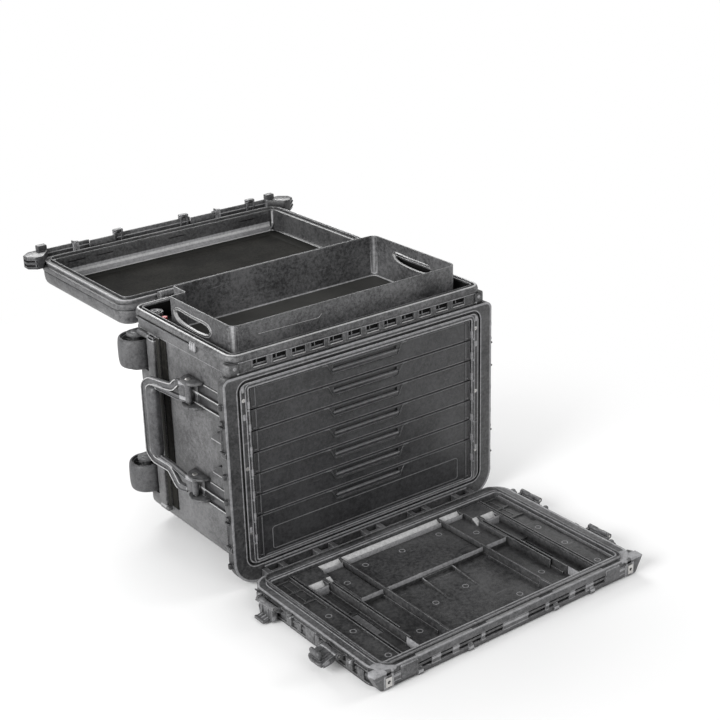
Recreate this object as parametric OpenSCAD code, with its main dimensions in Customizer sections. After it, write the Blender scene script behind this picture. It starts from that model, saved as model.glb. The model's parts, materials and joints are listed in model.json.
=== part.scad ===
// Moulded tool case with seven drawers, a lift-out tray, a top lid and a drop-down front door.
// It is drawn as it stands in use: lid thrown back, door down, tray seated, drawers in their runners.
// Millimetres, +Z up. The origin is on the floor under the middle of the case, the front faces -Y.

/* [Drawers] */
// Clear width of the front opening
open_w = 496; // [470:2:530]
// Height that each shallow drawer takes up
shallow_pitch = 40.8; // [38:0.2:46]
// Height that the deep drawer takes up
deep_pitch = 83.2; // [76:0.2:100]
// Length of a drawer, front to back
drawer_d = 298; // [280:1:330]
// Wall of a drawer
drawer_wall = 2.5; // [2:0.1:3.5]

/* [Case] */
// Wall of the moulded shell
wall = 4; // [3:0.5:5]
// Space each side of the opening for the runners and the side wall
side_space = 28; // [26:1:36]
// Space behind the drawers, down to the outside of the rear wall
rear_space = 36; // [34:1:50]
// Height of the opening's lower edge above the floor
base_h = 48; // [44:1:60]
// Height from the opening's upper edge to the top rim
header_h = 62; // [60:1:74]
// How far the front frame stands out past the side walls
frame_lip = 22; // [20:1:26]
// Thickness of the front frame
frame_t = 18; // [16:0.5:19]
// Radius of the case's lower long edges
corner_r = 50; // [36:1:56]
// Height of the skids under the case
skid_h = 14; // [10:1:18]

/* [Lid and door] */
// Outer height of the lid
lid_h = 50; // [46:1:70]
// Thickness of the door
door_t = 33; // [31:1:33.5]
// Diameter of the hinge pins
pin_d = 5; // [4:0.5:6]
// Width of a latch lever
latch_w = 40; // [30:1:50]

/* [Tray] */
// Space between the top rim and each side of the lift-out tray
tray_side_gap = 16; // [10:1:34]
// Space inside the top rim in front of the tray
tray_front_gap = 24; // [12:1:40]
// Space inside the top rim behind the tray
tray_back_gap = 30; // [29:1:50]
// Height of the tray
tray_h = 87; // [80:1:88]

/* [Wheels and handles] */
// Diameter of a wheel
wheel_d = 70; // [60:1:72]
// Width of a wheel
wheel_w = 56; // [50:1:60]
// Diameter of a wheel's axle
axle_d = 10; // [8:0.5:12]
// Diameter of the folding handle's bar
bail_d = 10; // [8:0.5:11]
// Diameter of the folding handle's grip
grip_d = 22; // [18:1:24]
// Diameter of the pull handle's tubes
tube_d = 12; // [10:0.5:12]

/* [Hidden] */
$fn = 48;

shell_colour = [0.13, 0.13, 0.14];
panel_colour = [0.16, 0.16, 0.17];
drawer_colour = [0.1, 0.1, 0.1];
rubber_colour = [0.05, 0.05, 0.05];
steel_colour = [0.75, 0.75, 0.74];

// Clearances
gap = 0.5;
seat_gap = 0.3;
run_gap = 0.05;
eps = 0.01;

// Case sizes
shallow_count = 6;
open_h = shallow_count * shallow_pitch + deep_pitch;
open_top = base_h + open_h;
rim_h = open_top + header_h;
body_w = open_w + 2 * side_space;
body_d = drawer_d + 2 + rear_space;
frame_w = body_w + 2 * frame_lip;
face_y = -body_d / 2;
rear_y = body_d / 2;
frame_back = face_y + frame_t;
open_r = 3;
frame_z0 = 4;
frame_top = open_top + 26;
frame_corner = corner_r;
rim_wall = 12;
rim_front = face_y + 6;
rim_inner_w = body_w - 2 * rim_wall;
inner_w = body_w - 2 * wall;
shelf_t = 6;
shelf_top = open_top + 10;
floor_in = skid_h + wall;

// Seal between frame and door, and between rim and lid
seal_w = 5;
seal_deep = 7;
gasket_t = 2.5;
door_z0 = 34;
door_top = frame_top - 4;
door_seal_w = open_w + 40;
door_seal_z0 = door_z0 + 5;
door_seal_z1 = door_top - 9;
lid_seal_inset = 6;

// Front door hinge and pose
door_w = frame_w - 16;
door_hy = face_y - 16.5;
door_hz = 17.5;
door_y1 = face_y - gap;
door_y0 = door_y1 - door_t;
knuckle_r = 8;
hinge_pitch = (open_w / 2 - 28) / 2;
door_hinge_x = [-2, -1, 0, 1, 2] * hinge_pitch;
hinge_arm_w = 24;
hinge_ear_w = 10;

// Lid hinge and pose
lid_y0 = rim_front - 8;
lid_y1 = rear_y + 7;
lid_hy = rear_y + 16;
lid_z0 = rim_h + gap;
lid_wall = 5;
lid_w = body_w + 20;
lid_hinge_x = [-1, 0, 1] * (body_w / 2 - 86);
skirt_h = 20;
skirt_t = 4;
skirt_out = 10;
lug_x = [-0.183, 0.102, 0.408] * body_w;
lug_w = 20;
tab_x = [-0.364, 0.252] * body_w;

// Latches: one lever form, its eye on the pin, its claw at the far end
latch_t = 10;
claw_near = frame_t + 3.5;
claw_w = 26;
claw_reach = 16;
latch_len = claw_near + 7.5;
latch_pin_d = 4;
latch_ear_t = 5;
door_latch_x = frame_w / 2 + 7;
door_latch_y = face_y - 2.5;
door_latch_z = [base_h + 62, base_h + 244];
upper_left_open = 105;
lid_latch_y = lid_y0 - 10;
lid_latch_z = rim_h + 2.5;
slot_pitch = 40;
slot_w = 32;
slot_n = 2 * floor((body_w - 34) / slot_pitch / 2);
lid_latch_x = [-3.5, 2.5] * slot_pitch;
skirt_gap = latch_w / 2 + 8;
slot_z0 = lid_latch_z - latch_len - 2.5;
slot_z1 = lid_latch_z - claw_near + 2.5;

// Drawers and runners
ledge_t = 3;
ledge_in = 10;
runner_x = open_w / 2 + 2;
runner_t = 6;
drawer_y0 = face_y + 2;
front_t = 5;
drawer_y1 = drawer_y0 + drawer_d;
ledge_y0 = drawer_y0 + 16;
side_out = open_w / 2 - 3;
side_web = open_w / 2 - 16;
pad_out = open_w / 2 - 1;
handle_w = 150;
catch_y = ledge_y0 + 8;

// Wheels at the rear left edge, on upright axles
wheel_x = -body_w / 2 - 4;
wheel_y = rear_y - 8;
wheel_z = [base_h + 56, rim_h - 82];
notch_r = wheel_d / 2 + 4;
bracket_t = 6;
bracket_gap = 1;
notch_h = wheel_w + 2 * (bracket_t + bracket_gap);

// Skids
skid_w = 36;
skid_pitch = body_w * 0.29;

// Folding handles
pivot_y = face_y + 130;
pivot_z = [base_h + 120, base_h + 304];
pivot_x = body_w / 2 + 14;
grip_x = body_w / 2 + 40;
grip_y = pivot_y + 106;
handle_pin_d = 6;
eye_d = handle_pin_d + 10;
bracket_ear = 5;

// Pull handle
tube_y = rear_y - wall - 13;
tube_z = [base_h + 150, base_h + 246];
guide_wall = 2;
guide_len = 430;
tube_len = 440;
pull_x = body_w / 2;
pull_t = 16;
pull_end = 16;

// Tray
tray_wall = 3;
tray_z0 = shelf_top + seat_gap;
tray_w = rim_inner_w - 2 * tray_side_gap;
tray_y0 = rim_front + rim_wall + tray_front_gap;
tray_d = rear_y - rim_wall - tray_back_gap - tray_y0;
tray_r = 16;

// Valve and fitting in the rear left corner, and the corner of the tray that keeps clear of them
valve_x = -rim_inner_w / 2 + 18;
valve_y = rear_y - rim_wall - 14;
fitting_x = valve_x + 3;
fitting_y = valve_y - 29;
notch_x = fitting_x + 28;
notch_y = fitting_y - 31;

// Deep drawer is number 7, at the bottom
function drawer_pitch(k) = k == 7 ? deep_pitch : shallow_pitch;
function drawer_z(k) = k == 7 ? base_h : base_h + deep_pitch + (6 - k) * shallow_pitch;

module round_rect(w, h, r) {
    square([w - 2 * r, h], center = true);
    square([w, h - 2 * r], center = true);
    for (x = [-1, 1], y = [-1, 1])
        translate([x * (w / 2 - r), y * (h / 2 - r)]) circle(r);
}

// Rounded rectangle from one height to another, centred on x
module span_rect(w, z0, z1, r) {
    translate([0, (z0 + z1) / 2]) round_rect(w, z1 - z0, r);
}

// A 2D shape drawn in x and z, carried from y0 to y1
module along_y(y0, y1) {
    translate([0, y1, 0]) rotate([90, 0, 0]) linear_extrude(y1 - y0) children();
}

// A 2D shape drawn in y and z, carried from x0 to x1
module along_x(x0, x1) {
    translate([x0, 0, 0]) rotate([90, 0, 90]) linear_extrude(x1 - x0) children();
}

module up_from(z0, z1) {
    translate([0, 0, z0]) linear_extrude(z1 - z0) children();
}

module block(x0, x1, y0, y1, z0, z1) {
    translate([x0, y0, z0]) cube([x1 - x0, y1 - y0, z1 - z0]);
}

module ring_rect(w, z0, z1, r, t) {
    difference() {
        span_rect(w, z0, z1, r);
        span_rect(w - 2 * t, z0 + t, z1 - t, r - t);
    }
}

module rod_x(x0, x1, y, z, d) {
    translate([x0, y, z]) rotate([0, 90, 0]) cylinder(h = x1 - x0, d = d);
}

module rod_z(x, y, z0, z1, d) {
    translate([x, y, z0]) cylinder(h = z1 - z0, d = d);
}

// The door, drawn closed, swung down about its hinge
module door_down() {
    translate([0, door_hy, door_hz]) rotate([90, 0, 0])
        translate([0, -door_hy, -door_hz]) children();
}

// The lid, drawn closed, thrown back about its hinge
module lid_back() {
    translate([0, lid_hy, rim_h]) rotate([180, 0, 0])
        translate([0, -lid_hy, -rim_h]) children();
}

// Case

module body_section(inset) {
    r = corner_r - inset;
    w = body_w - 2 * inset;
    z0 = skid_h + inset;
    translate([-w / 2, z0 + r]) square([w, rim_h]);
    translate([-w / 2 + r, z0]) square([w - 2 * r, r + eps]);
    for (x = [-1, 1]) translate([x * (w / 2 - r), z0 + r]) circle(r);
}

module body_plan(inset) {
    r = 16 - inset;
    w = body_w - 2 * inset;
    y1 = rear_y - inset;
    translate([-w / 2, face_y - 20]) square([w, y1 - r - face_y + 20]);
    translate([-w / 2 + r, y1 - r - eps]) square([w - 2 * r, r + eps]);
    for (x = [-1, 1]) translate([x * (w / 2 - r), y1 - r]) circle(r);
}

module body_solid(inset, y0, z1) {
    intersection() {
        along_y(y0, rear_y + 1) body_section(inset);
        up_from(0, z1) body_plan(inset);
    }
}

module wheel_wells(r, h) {
    for (z = wheel_z) translate([wheel_x, wheel_y, z - h / 2]) cylinder(h = h, r = r);
}

module case_shell() {
    strap_w = 40;
    strap_y = rear_y - 92;
    color(shell_colour) difference() {
        union() {
            difference() {
                body_solid(0, frame_back, frame_top);
                body_solid(wall, frame_back - 1, frame_top + 1);
            }
            intersection() {
                body_solid(0, frame_back, frame_top);
                wheel_wells(notch_r + wall, notch_h + 2 * wall);
            }
            // Raised straps round the rear part of the sides
            for (s = [-1, 1])
                block(s * body_w / 2 - 3, s * body_w / 2 + 3, strap_y, strap_y + strap_w,
                    skid_h + corner_r, frame_top);
            // Ribs down the rear wall
            for (x = [-150, 0, 150])
                block(x - 10, x + 10, rear_y - eps, rear_y + 4, skid_h + 20, frame_top - 24);
        }
        wheel_wells(notch_r, notch_h);
        for (z = tube_z)
            rod_x(body_w / 2 - wall - 16, body_w / 2 + 1, tube_y, z, tube_d + 2 * guide_wall + 0.2);
    }
}

module top_rim() {
    mid_y = (rim_front + rear_y) / 2;
    rim_d = rear_y - rim_front;
    color(shell_colour) difference() {
        union() {
            up_from(frame_top, rim_h) translate([0, mid_y]) round_rect(body_w, rim_d, 20);
            // The band that carries the lid's outer lip
            up_from(rim_h - 10, rim_h - 4) translate([0, mid_y]) round_rect(body_w + 6, rim_d, 21);
        }
        up_from(frame_top - 1, rim_h + 1) translate([0, mid_y])
            round_rect(rim_inner_w, rim_d - 2 * rim_wall, 12);
        // Groove for the lid's gasket
        up_from(rim_h - seal_deep, rim_h + 1) translate([0, mid_y]) difference() {
            round_rect(body_w - 2 * (lid_seal_inset - seal_w / 2), rim_d - 2 * (lid_seal_inset - seal_w / 2), 17);
            round_rect(body_w - 2 * (lid_seal_inset + seal_w / 2), rim_d - 2 * (lid_seal_inset + seal_w / 2), 13);
        }
        // Row of slots along the front that the lid's claws hook into
        for (i = [0 : slot_n - 1])
            translate([(i - (slot_n - 1) / 2) * slot_pitch - slot_w / 2, rim_front - 2, slot_z0])
                cube([slot_w, 7, slot_z1 - slot_z0]);
    }
}

module frame_outline(inset) {
    r = frame_corner - inset;
    w = frame_w - 2 * inset;
    z0 = frame_z0 + inset;
    z1 = frame_top - inset;
    translate([-w / 2, z0 + r]) square([w, z1 - z0 - r - 14]);
    translate([-w / 2 + 14, z1 - 14 - eps]) square([w - 28, 14 + eps]);
    translate([-w / 2 + r, z0]) square([w - 2 * r, r + eps]);
    for (x = [-1, 1]) {
        translate([x * (w / 2 - r), z0 + r]) circle(r);
        translate([x * (w / 2 - 14), z1 - 14]) circle(14);
    }
}

module front_frame() {
    color(shell_colour) difference() {
        union() {
            along_y(face_y, frame_back) frame_outline(0);
            // Side blocks that carry the strike slots
            for (s = [-1, 1], z = door_latch_z)
                block(s * frame_w / 2 - 2, s * frame_w / 2 + 2, face_y + 3, frame_back - 2, z - 34, z - 24);
        }
        along_y(face_y - 1, frame_back + 1) span_rect(open_w, base_h, open_top, open_r);
        // Groove for the door's gasket
        along_y(face_y - 1, face_y + seal_deep)
            ring_rect(door_seal_w + seal_w, door_seal_z0 - seal_w / 2, door_seal_z1 + seal_w / 2, 20, seal_w);
        // Pockets in the edge above the hinges
        for (i = [-6 : 6])
            block(i * 38 - 12, i * 38 + 12, face_y - 1, face_y + 4, frame_z0 + 4, frame_z0 + 9);
        for (s = [-1, 1], z = screw_z)
            translate([s * screw_x, face_y + 3, z]) rotate([90, 0, 0]) cylinder(h = 4, d = 7.4);
    }
}

screw_x = open_w / 2 + 11;
screw_z = [base_h + 56, base_h + 180, open_top - 20];

module frame_screws() {
    color(steel_colour) for (s = [-1, 1], z = screw_z)
        translate([s * screw_x, face_y + 3, z]) rotate([90, 0, 0]) difference() {
            cylinder(h = 2.4, d = 7);
            translate([0, 0, 1.2]) cylinder(h = 2, d = 3.2, $fn = 6);
        }
}

module door_gasket() {
    color(rubber_colour) along_y(face_y + seal_deep - gasket_t, face_y + seal_deep)
        ring_rect(door_seal_w + seal_w, door_seal_z0 - seal_w / 2, door_seal_z1 + seal_w / 2, 20, seal_w);
}

module lid_gasket() {
    mid_y = (rim_front + rear_y) / 2;
    rim_d = rear_y - rim_front;
    color(rubber_colour) up_from(rim_h - seal_deep, rim_h - seal_deep + gasket_t)
        translate([0, mid_y]) difference() {
            round_rect(body_w - 2 * (lid_seal_inset - seal_w / 2), rim_d - 2 * (lid_seal_inset - seal_w / 2), 17);
            round_rect(body_w - 2 * (lid_seal_inset + seal_w / 2), rim_d - 2 * (lid_seal_inset + seal_w / 2), 13);
        }
}

module shelf_shape() {
    difference() {
        intersection() {
            translate([-inner_w / 2, frame_back]) square([inner_w, body_d]);
            body_plan(wall);
        }
        translate([wheel_x, wheel_y]) circle(notch_r + wall);
    }
}

// Floor of the tray's compartment, on top of the drawer bay
module tray_shelf() {
    color(panel_colour) union() {
        up_from(shelf_top - shelf_t, shelf_top) shelf_shape();
        // Ribs under the shelf
        for (x = [-160, -80, 0, 80, 160])
            block(x - 2, x + 2, frame_back + 10, drawer_y1, open_top + 1, shelf_top - shelf_t + eps);
    }
}

module back_panel() {
    y0 = drawer_y1 + 3;
    w = 2 * (runner_x - 14);
    mid = (base_h + open_top) / 2;
    color(panel_colour) difference() {
        union() {
            block(-w / 2, w / 2, y0, y0 + 3, base_h, open_top - 2);
            block(-w / 2, w / 2, y0 + 3 - eps, y0 + 5, mid - 18, mid + 30);
            for (x = [-w / 2 + 6, w / 2 - 6])
                block(x - 3, x + 3, y0 + 3 - eps, y0 + 6, base_h, open_top - 2);
            // Posts that stand on the rear wall
            for (x = [-190, 190], z = [base_h + 20, open_top - 50])
                block(x - 8, x + 8, y0 + 3 - eps, rear_y - wall, z, z + 24);
        }
        // Upright gap beside the middle
        block(20, 34, y0 - 1, y0 + 8, base_h + 20, open_top - 40);
    }
}

module floor_panel() {
    y1 = drawer_y1 + 14;
    z1 = base_h - ledge_t - 2;
    color(panel_colour) union() {
        block(-side_web, side_web, frame_back, y1, z1 - 3, z1);
        for (i = [-2.5 : 1 : 2.5]) {
            block(i * 84 - 9, i * 84 + 9, frame_back + 12, y1 - 12, z1 - eps, z1 + 1.5);
            block(i * 84 - 1.5, i * 84 + 1.5, frame_back + 12, y1 - 12, floor_in, z1 - 3 + eps);
        }
    }
}

// One runner panel with a ledge under each drawer, for the +X side
module runner() {
    x1 = body_w / 2 - wall;
    difference() {
        union() {
            block(runner_x, runner_x + runner_t, frame_back, drawer_y1 - 8, base_h - ledge_t, open_top);
            for (k = [1 : 7])
                block(runner_x - ledge_in, runner_x + eps, ledge_y0, drawer_y1 - 8,
                    drawer_z(k) - ledge_t, drawer_z(k));
            // Ribs that carry the panel off the side wall
            for (y = [frame_back, (frame_back + drawer_y1) / 2 - 6, drawer_y1 - 28])
                block(runner_x + runner_t - eps, x1, y, y + 8, base_h + 20, open_top - 4);
        }
        // Long shallow grooves between the ledges
        for (k = [1 : 6])
            block(runner_x - 1, runner_x + 1.5, ledge_y0 + 40, drawer_y1 - 30,
                drawer_z(k) + 14, drawer_z(k) + 18);
    }
}

module runner_left() {
    color(panel_colour) mirror([1, 0, 0]) runner();
}

module runner_right() {
    color(panel_colour) runner();
}

// Sprung steel catch at the front of each runner level, behind the drawer's front pillar
module drawer_catches() {
    color(steel_colour) for (s = [-1, 1], k = [1 : 7])
        block(s * (runner_x - 0.75) - 0.75, s * (runner_x - 0.75) + 0.75, catch_y, catch_y + 14,
            drawer_z(k) + 12, drawer_z(k) + 24);
}

module runner_rivets() {
    color(steel_colour) for (s = [-1, 1], k = [1 : 6], j = [0 : 2])
        translate([s * (runner_x - 0.4), catch_y + 60 + j * 70, drawer_z(k) + 26])
            rotate([0, 90, 0]) cylinder(h = 0.8, d = 5, center = true);
}

module base_skids() {
    color(shell_colour) for (i = [-1, 0, 1])
        block(i * skid_pitch - skid_w / 2, i * skid_pitch + skid_w / 2, frame_back + frame_t - 4,
            rear_y - corner_r / 2, 0, skid_h);
}

// Forks that hold the folding handles, with the double ribs that run from them to the front frame
module handle_brackets() {
    color(shell_colour) for (s = [-1, 1]) mirror([s < 0 ? 1 : 0, 0, 0]) {
        for (z = pivot_z) {
            fork(z);
            for (d = [-20, -6])
                block(body_w / 2, body_w / 2 + 7, frame_back, pivot_y - 14, z + d - 2, z + d + 2);
            block(body_w / 2, body_w / 2 + 3, frame_back, pivot_y - 14, z - 18 + eps, z - 8 - eps);
        }
        for (z = [pivot_z[0] + 60, pivot_z[1] - 66]) ramp(z);
    }
}

// Fork round one eye of the bail: a web on the wall and an ear above and below
module fork(z) {
    h = bail_d / 2 + gap + bracket_ear;
    difference() {
        union() {
            block(body_w / 2, pivot_x - eye_d / 2 - gap, pivot_y - 11, pivot_y + 11, z - h, z + h);
            for (s = [-1, 1])
                up_from(z + s * (h - bracket_ear / 2) - bracket_ear / 2, z + s * (h - bracket_ear / 2) + bracket_ear / 2) {
                    translate([pivot_x, pivot_y]) circle(9);
                    translate([body_w / 2, pivot_y - 9]) square([pivot_x - body_w / 2, 18]);
                }
        }
        rod_z(pivot_x, pivot_y, z - 2 * h, z + 2 * h, handle_pin_d);
    }
}

module handle_pins() {
    h = bail_d / 2 + gap + bracket_ear + 1.5;
    color(steel_colour) for (s = [-1, 1], z = pivot_z) {
        rod_z(s * pivot_x, pivot_y, z - h, z + h, handle_pin_d);
    }
}

module ramp(z) {
    up_from(z - 9, z + 9) polygon([[body_w / 2, frame_back + 14], [body_w / 2 + 8, frame_back + 18],
        [body_w / 2 + 8, frame_back + 22], [body_w / 2, frame_back + 46]]);
}

// Valve knob, on the roof of the upper wheel's well
module pressure_valve() {
    z1 = rim_h - 10;
    color(shell_colour) union() {
        rod_z(valve_x, valve_y, wheel_z[1] + notch_h / 2 + wall, z1 - 10, 15);
        rod_z(valve_x, valve_y, z1 - 10 - eps, z1 - 4, 20);
        block(valve_x - 8, valve_x + 8, valve_y - 2.5, valve_y + 2.5, z1 - 4 - eps, z1);
    }
}

module valve_seal() {
    color([0.7, 0.08, 0.1]) rod_z(fitting_x, fitting_y, shelf_top, rim_h - 14, 10);
}

// Hinges

module door_hinge_ears() {
    color(shell_colour) difference() {
        union() for (x = door_hinge_x, s = [-1, 1])
            translate([x + s * (hinge_arm_w / 2 + gap + hinge_ear_w / 2), 0, 0])
                along_x(-hinge_ear_w / 2, hinge_ear_w / 2) {
                    translate([door_hy, door_hz]) circle(knuckle_r);
                    translate([door_hy, door_hz - knuckle_r]) square([face_y - door_hy, 2 * knuckle_r]);
                }
        rod_x(-open_w, open_w, door_hy, door_hz, pin_d);
    }
}

module lid_hinge_ears() {
    color(shell_colour) difference() {
        union() for (x = lid_hinge_x, s = [-1, 1])
            translate([x + s * (hinge_arm_w / 2 + gap + hinge_ear_w / 2), 0, 0])
                along_x(-hinge_ear_w / 2, hinge_ear_w / 2) {
                    translate([lid_hy, rim_h]) circle(knuckle_r);
                    polygon([[rear_y, rim_h - 36], [lid_hy + knuckle_r - 0.5, rim_h - 3],
                        [lid_hy, rim_h - 1], [rear_y, rim_h - 1]]);
                }
        rod_x(-open_w, open_w, lid_hy, rim_h, pin_d);
    }
}

// One long pin through the door's hinges and a short one through each of the lid's
module hinge_pins() {
    l = hinge_arm_w / 2 + gap + hinge_ear_w + 1;
    x1 = door_hinge_x[4] + l;
    color(steel_colour) {
        rod_x(-x1, x1, door_hy, door_hz, pin_d);
        for (x = lid_hinge_x) rod_x(x - l, x + l, lid_hy, rim_h, pin_d);
    }
}

// Latch lever: eye on the x axis, arm down -Z, claw towards +Y at its end
module latch_lever() {
    difference() {
        union() {
            along_x(-latch_w / 2, latch_w / 2) {
                circle(latch_t / 2);
                translate([-latch_t / 2, -latch_len]) square([latch_t, latch_len]);
            }
            along_x(-claw_w / 2, claw_w / 2)
                translate([0, -latch_len]) square([latch_t / 2 + claw_reach, latch_len - claw_near]);
            // Thumb ribs across the face of the lever
            for (z = [-25, -19, -13])
                along_x(-latch_w / 2 + 4, latch_w / 2 - 4)
                    translate([-latch_t / 2 - 1.5, z - 1]) square([3, 2]);
        }
        rod_x(-latch_w, latch_w, 0, 0, latch_pin_d + 2 * run_gap);
    }
}

// Ears of one latch: eyes each side of the lever, on a web that reaches in to the wall at +Y
module latch_ears(reach) {
    difference() {
        for (s = [-1, 1])
            translate([s * (latch_w / 2 + gap + latch_ear_t / 2), 0, 0])
                along_x(-latch_ear_t / 2, latch_ear_t / 2) {
                    circle(latch_t / 2);
                    polygon([[0, 0], [reach, 2], [reach, 16], [0, latch_t / 2], [-latch_t / 2, 0]]);
                }
        rod_x(-latch_w, latch_w, 0, 0, latch_pin_d);
    }
}

module latch_pin() {
    l = latch_w / 2 + gap + latch_ear_t;
    rod_x(-l, l, 0, 0, latch_pin_d);
}

// Places for the latches. On the door's edge the eye's axis is upright while the door is shut.
module at_door_latch(s, z) {
    mirror([s > 0 ? 1 : 0, 0, 0]) translate([-door_latch_x, door_latch_y, z]) rotate([0, 90, -90]) children();
}

module at_lid_latch(x) {
    translate([x, lid_latch_y, lid_latch_z]) children();
}

module door_latch(s, z, open) {
    color(drawer_colour) door_down() at_door_latch(s, z) rotate([-open, 0, 0]) latch_lever();
}

module lid_latch(x) {
    color(drawer_colour) lid_back() at_lid_latch(x) rotate([-180, 0, 0]) latch_lever();
}

module door_latch_pins() {
    color(steel_colour) door_down() for (s = [-1, 1], z = door_latch_z) at_door_latch(s, z) latch_pin();
}

module lid_latch_pins() {
    color(steel_colour) lid_back() for (x = lid_latch_x) at_lid_latch(x) latch_pin();
}

// Door

module door_shape(inset) {
    span_rect(door_w - 2 * inset, door_z0 + inset, door_top - inset, 34 - inset);
}

module door_arms() {
    for (x = door_hinge_x)
        translate([x, 0, 0]) along_x(-hinge_arm_w / 2, hinge_arm_w / 2) {
            translate([door_hy, door_hz]) circle(knuckle_r);
            translate([door_hy - knuckle_r, door_hz]) square([2 * knuckle_r, door_z0 - door_hz + 4]);
        }
}

door_lip = 24;
door_floor = 5;
door_slot_x = [48, 100, 150, 196];
door_slot_w = [40, 48, 26, 30];

module door_shell() {
    recess_y = door_y1 - door_t + door_floor;
    color(shell_colour) door_down() difference() {
        union() {
            along_y(door_y0, door_y1) door_shape(0);
            door_arms();
            // Tongue that presses on the frame's gasket
            along_y(door_y1 - 1, face_y + seal_deep - gasket_t - 0.5)
                ring_rect(door_seal_w + 2, door_seal_z0 - 1, door_seal_z1 + 1, 18, 2);
            // Ears at the free corners
            for (s = [-1, 1])
                block(s * (door_w / 2 - 19) - 9, s * (door_w / 2 - 19) + 9, door_y0 + 2, door_y1 - 8,
                    door_top - 6, door_top + 3);
            // Latch ears on the side edges
            for (s = [-1, 1], z = door_latch_z)
                at_door_latch(s, z) latch_ears(door_latch_x - door_w / 2 + 1);
        }
        along_y(recess_y, door_y1 + 9) door_shape(door_lip);
        // Slots along the free edge
        for (s = [-1, 1], i = [0 : 3])
            block(s * door_slot_x[i] - door_slot_w[i] / 2, s * door_slot_x[i] + door_slot_w[i] / 2,
                door_y0 + 9, door_y1 - 11, door_top - 12, door_top + 1);
        // Long grooves in the lip beside the free edge
        for (x = [-150, 0, 150])
            block(x - 56, x + 56, door_y1 - 5, door_y1 + 1, door_top - 6.5, door_top - 3);
        rod_x(-open_w, open_w, door_hy, door_hz, pin_d + 2 * run_gap);
    }
}

// Ribbed panel that closes the inside of the door
module door_inner_panel() {
    w = door_w - 2 * door_lip - 1;
    y0 = door_y1 - door_t + door_floor;
    y1 = door_y1 - 10;
    z0 = door_z0 + door_lip + 0.5;
    z1 = door_top - door_lip - 0.5;
    mid = (z0 + z1) / 2;
    color(panel_colour) door_down() difference() {
        union() {
            along_y(y0, y0 + 7) span_rect(w, z0, z1, 9.5);
            // Raised strips down both sides with cross ribs
            for (s = [-1, 1]) {
                block(s * (w / 2 - 34) - 34, s * (w / 2 - 34) + 34, y0 + 6, y0 + 12, z0 + 8, z1 - 8);
                for (j = [0 : 2])
                    block(s * (w / 2 - 34) - 34, s * (w / 2 - 34) + 34, y0 + 11, y1,
                        z0 + 24 + j * 26, z0 + 27 + j * 26);
            }
            // Long ribs from the hinge side towards the free edge
            for (x = [-150, -120, 120, 150])
                block(x - 2, x + 2, y0 + 6, y1, z0 + 20, z1 - 60);
            // Stepped cross ribs in the middle
            block(-118, -40, y0 + 6, y1, mid - 20, mid - 16);
            block(-60, 60, y0 + 6, y1, mid - 4, mid);
            block(40, 118, y0 + 6, y1, mid + 12, mid + 16);
        }
        // Pockets beside the hinge, their floors sloping up
        for (x = [-205, 205]) pocket(x, 44, z0 + 14, y0);
        pocket(-60, 84, z0 + 14, y0);
        pocket(60, 84, z0 + 14, y0);
    }
}

module pocket(x, w, z, y0) {
    along_x(x - w / 2, x + w / 2)
        polygon([[y0 + 20, z], [y0 + 3, z], [y0 + 3, z + 4], [y0 + 20, z + 26]]);
}

module padlock_plates() {
    color(steel_colour) door_down() difference() {
        for (s = [-1, 1])
            block(s * (door_w / 2 - 19) - 6, s * (door_w / 2 - 19) + 6, door_y0 + 5, door_y1 - 11,
                door_top + 3, door_top + 4.5);
        for (s = [-1, 1])
            rod_z(s * (door_w / 2 - 19), (door_y0 + door_y1) / 2 - 3, door_top, door_top + 6, 6);
    }
}

// Lid

module lid_mid() {
    translate([0, (lid_y0 + lid_y1) / 2]) children();
}

module lid_profile(half, z1, r) {
    translate([-half, lid_z0]) square([2 * half, z1 - r - lid_z0]);
    translate([-half + r, z1 - r - eps]) square([2 * half - 2 * r, r + eps]);
    for (s = [-1, 1]) translate([s * (half - r), z1 - r]) circle(r);
}

module lid_solid(inset, top, r) {
    w = lid_w - 2 * inset;
    d = lid_y1 - lid_y0 - 2 * inset;
    intersection() {
        up_from(lid_z0, lid_z0 + top) lid_mid() round_rect(w, d, 30 - inset);
        along_y(lid_y0, lid_y1) lid_profile(w / 2, lid_z0 + top, r);
        along_x(-lid_w, lid_w) translate([(lid_y0 + lid_y1) / 2, 0]) lid_profile(d / 2, lid_z0 + top, r);
    }
}

// Skirt along the front edge, open where the latches stand, with lugs, tabs and corner knuckles
module lid_skirt() {
    y0 = lid_y0 - skirt_out;
    z0 = lid_z0 - skirt_h;
    z1 = lid_z0 + 8;
    end = lid_w / 2 - 21;
    for (x = [[-end, lid_latch_x[0] - skirt_gap], [lid_latch_x[0] + skirt_gap, lid_latch_x[1] - skirt_gap],
            [lid_latch_x[1] + skirt_gap, end]]) {
        block(x[0], x[1], y0, y0 + skirt_t, z0, z1);
        block(x[0], x[1], y0, lid_y0 + 1, lid_z0 + 2, z1);
    }
    for (x = lug_x) block(x - lug_w / 2, x + lug_w / 2, y0 - 3, y0 + 7, z0 - 6, z1);
    for (x = tab_x) block(x - 5, x + 5, y0 - 2, y0 + 5, z0 - 3, z1);
    for (s = [0, 1]) mirror([s, 0, 0]) translate([lid_w / 2, lid_y0])
        up_from(z0, z1 + 2)
            polygon([[4, 34], [-22, -1], [-22, -12], [12, -12], [27, 3], [27, 22], [15, 34]]);
}

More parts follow.
